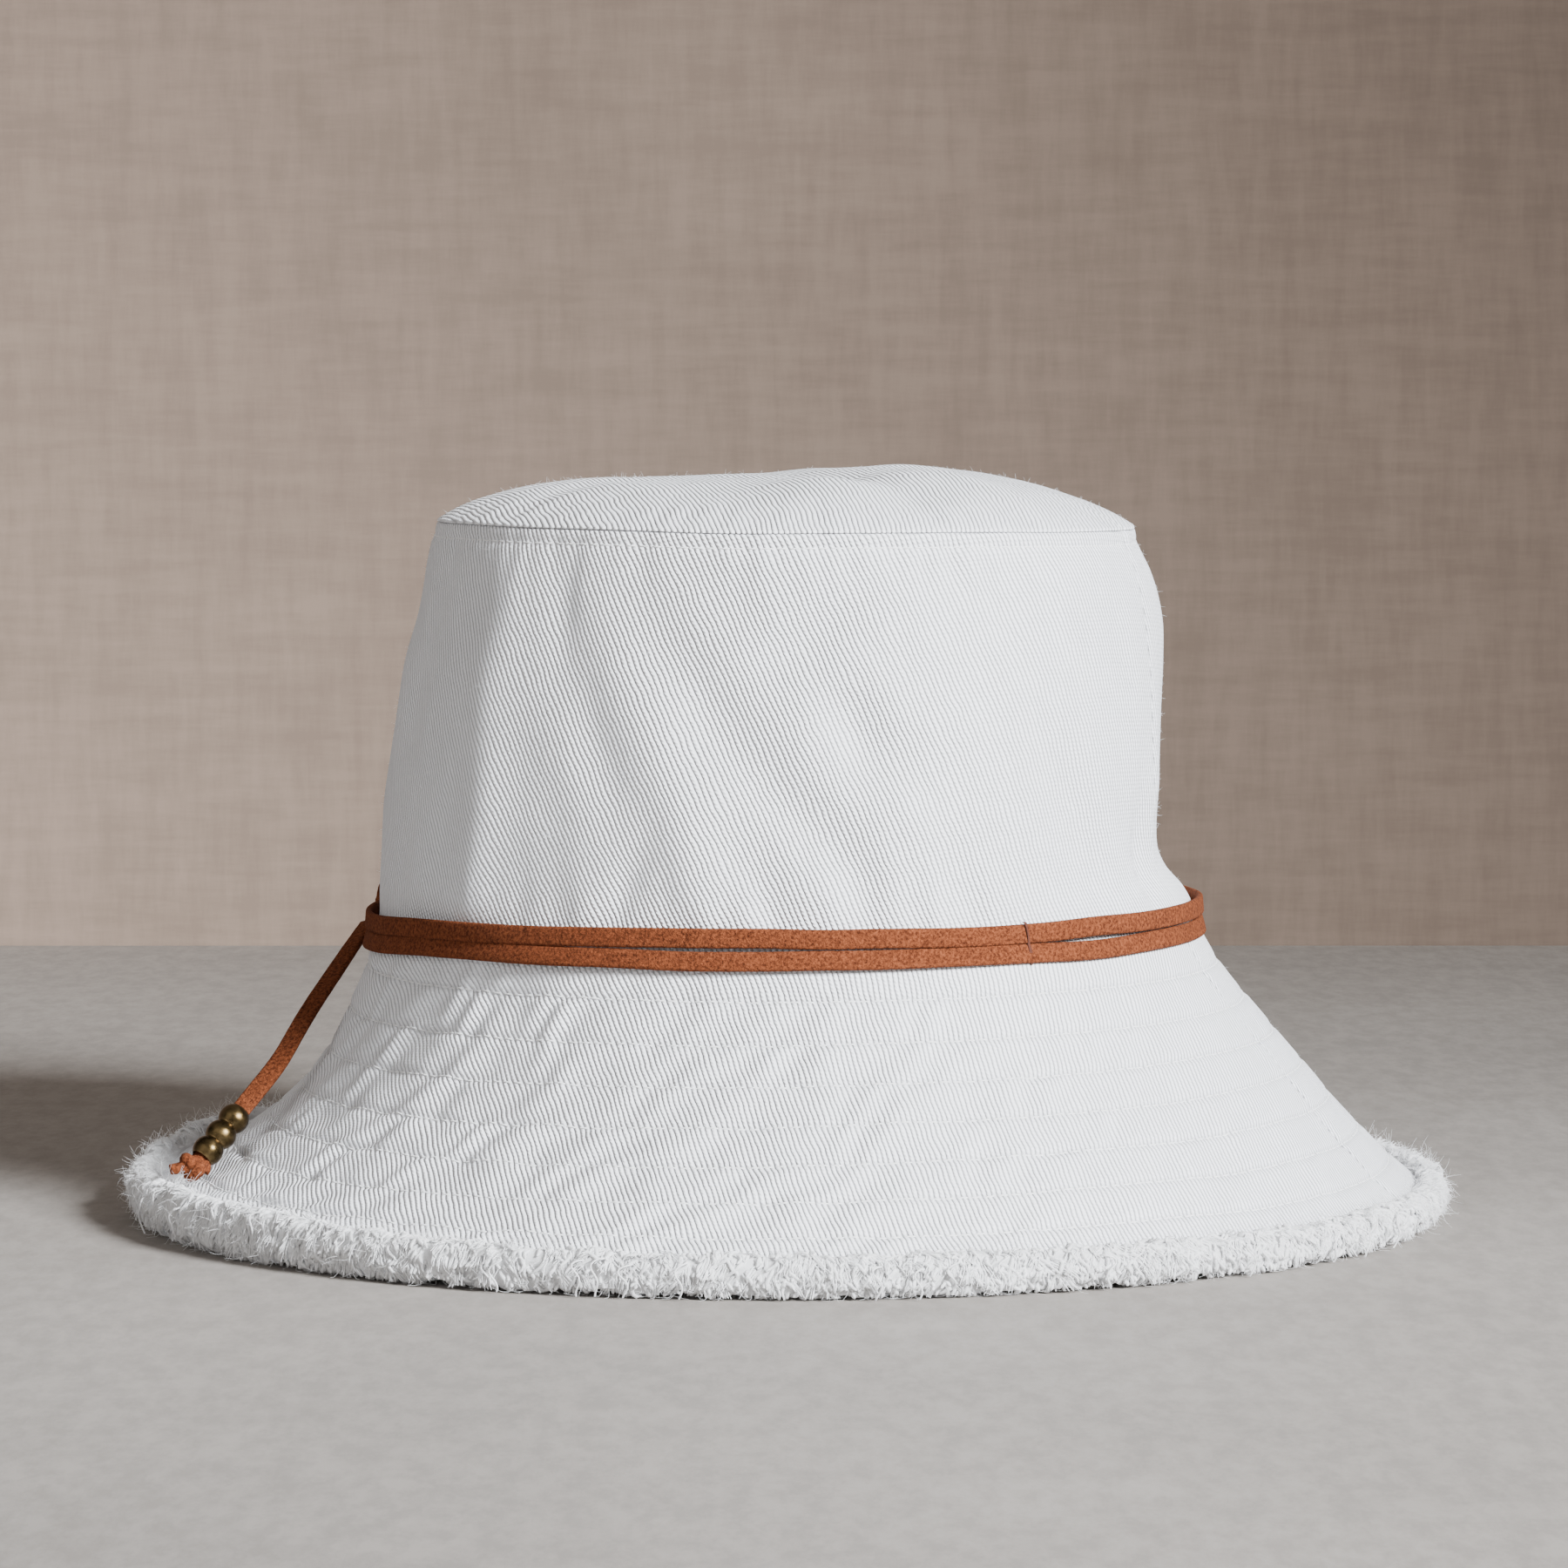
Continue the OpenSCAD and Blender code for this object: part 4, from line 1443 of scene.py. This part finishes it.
    def curl(self, angle, maker):
        """A plump yarn that curls over the roll and ends in a round tip."""
        face = math.radians(maker.uniform(-30, 125))
        length = maker.uniform(2.4, 4.8) * MM
        wave, start = maker.uniform(0.2, 1.0) * MM, maker.uniform(0, TURN)
        lay = maker.gauss(0, 0.5)
        line = []
        for step, (lift, thick) in enumerate(((-0.6, 1.6), (0.0, 2.4), (0.25, 2.7), (0.4, 2.7),
                                              (0.5, 2.6), (0.6, 2.2), (0.55, 1.2))):
            share = step / 6
            shift = lay * share * length + wave * math.sin(start + share * 5)
            spot = self.skin(angle + shift / FRAY_R, face - share * length / (4.2 * MM), lift * MM)
            line.append((self.held(spot), thick))
        return line

    def nub(self, angle, maker):
        """The short round end of a plump yarn, low on the roll."""
        face = math.radians(maker.uniform(-75, 15))
        shift = maker.gauss(0, 0.35) * MM / FRAY_R
        reach = maker.uniform(0.7, 1.7)
        line = []
        for share, thick in ((0.0, 1.8), (0.5, 2.6), (0.85, 2.4), (1.0, 1.3)):
            lift = (reach * share - 0.5) * MM
            spot = self.skin(angle + shift * share * 3, face - 0.25 * share, lift)
            line.append((self.held(spot), thick))
        return line

    def stray(self, angle, maker):
        """A longer thread that has come loose and hangs in an S over the roll."""
        point = self.skin(angle, math.radians(maker.uniform(20, 100)))
        out = around(angle, 1, 0)
        side = Vector((math.cos(angle), math.sin(angle), 0))
        swing = maker.uniform(0.5, 1.4) * maker.choice((-1, 1))
        start = maker.uniform(0, TURN)
        line = [(point, 0.8)]
        for step in range(1, 15):
            heading = out * (0.75 - 0.10 * step) + side * swing * math.sin(start + step * 0.7)
            heading += Vector((0, 0, 0.25 - 0.14 * step))
            point = point + heading.normalized() * 0.85 * MM
            line.append((self.held(point), 1.0))
        return line

    def down(self, angle, maker):
        """A fine fibre that stands off the roll."""
        face = math.radians(maker.uniform(-80, 150))
        point = self.skin(angle, face, 0.8 * MM)
        heading = around(angle, math.cos(face), math.sin(face))
        heading += Vector((maker.gauss(0, 0.7), maker.gauss(0, 0.7), maker.gauss(0, 0.6)))
        bend = Vector((maker.gauss(0, 0.5), maker.gauss(0, 0.5), maker.gauss(0, 0.5)))
        line = [(point, 1.0)]
        length = maker.uniform(1.5, 5.5) * MM
        for step in range(1, 5):
            heading = (heading + bend).normalized()
            point = point + heading * length / 4
            line.append((self.held(point), 1.0 - 0.15 * step))
        return line

    def held(self, point):
        """Keeps a yarn off the floor and inside the hat's own size."""
        reach = math.hypot(point.x, point.y)
        if reach > FRAY_R + 1.3 * MM:
            pull = (FRAY_R + 1.3 * MM) / reach
            point = Vector((point.x * pull, point.y * pull, point.z))
        return Vector((point.x, point.y, max(point.z, 0.45 * MM)))


class HAT_OT_fuzz(bpy.types.Operator):
    """Fine loose fibres that stand off the cloth"""
    bl_idname = "hat.fuzz"
    bl_label = "Surface fuzz"

    FIBRES = 3600

    def execute(self, context):
        maker = random.Random(7)
        lines = []
        for _ in range(self.FIBRES):
            angle = maker.uniform(0, TURN)
            where = maker.random()
            if where < 0.5:
                root = crown_place(angle, maker.uniform(0.08, 0.97), 0.1 * MM)
                out = around(angle, 1, 0.1)
            elif where < 0.68:
                root = tip_place(angle, maker.uniform(0.2, 0.97) ** 0.5)
                out = around(angle, 0.3, 1)
            else:
                root = brim_place(angle, maker.uniform(0.12, 0.98) * BRIM_LEN, 0.1 * MM)
                out = around(angle, 0.7, 0.7)
            lines.append(self.fibre(root, out.normalized(), maker))
        fuzz = tubes_piece("surface_fuzz", lines, 0.055 * MM)
        place_piece(fuzz, "hat", cotton("Loose yarn"), "twill")
        return {"FINISHED"}

    def fibre(self, root, out, maker):
        bend = Vector((maker.gauss(0, 1), maker.gauss(0, 1), maker.gauss(0, 1))) * 0.6
        length = maker.uniform(0.5, 1.6) * MM
        heading = (out + bend * 0.8).normalized()
        line = [(root, 1.0)]
        point = root
        for step in range(1, 4):
            heading = (heading + bend * 0.45).normalized()
            point = point + heading * length / 3
            line.append((point, 1.0 - 0.22 * step))
        return line


STEPS = (HAT_OT_stage, HAT_OT_tail, HAT_OT_cord_turns, HAT_OT_crown, HAT_OT_lining, HAT_OT_brim,
         HAT_OT_stitching, HAT_OT_fray, HAT_OT_fuzz)


class HAT_PT_panel(bpy.types.Panel):
    """Lists the hat's settings and the steps that build it"""
    bl_idname = "HAT_PT_panel"
    bl_label = "Bucket hat"
    bl_space_type = "VIEW_3D"
    bl_region_type = "UI"
    bl_category = "Hat"

    def draw(self, context):
        for name in SETTINGS:
            group = getattr(context.scene, name)
            box = self.layout.box()
            box.label(text=type(group).__doc__)
            for key in group.bl_rna.properties.keys():
                if key not in ("rna_type", "name"):
                    box.prop(group, key)
        for step in STEPS:
            self.layout.operator(step.bl_idname)


CLASSES = (*SETTINGS.values(), *STEPS, HAT_OT_beads, HAT_PT_panel)


def register():
    for item in CLASSES:
        bpy.utils.register_class(item)
    for name, group in SETTINGS.items():
        setattr(bpy.types.Scene, name, bpy.props.PointerProperty(type=group))


def unregister():
    for name in SETTINGS:
        delattr(bpy.types.Scene, name)
    for item in reversed(CLASSES):
        bpy.utils.unregister_class(item)


def main():
    register()
    for step in STEPS:
        group, name = step.bl_idname.split(".")
        getattr(getattr(bpy.ops, group), name)()


if __name__ == "__main__":
    main()
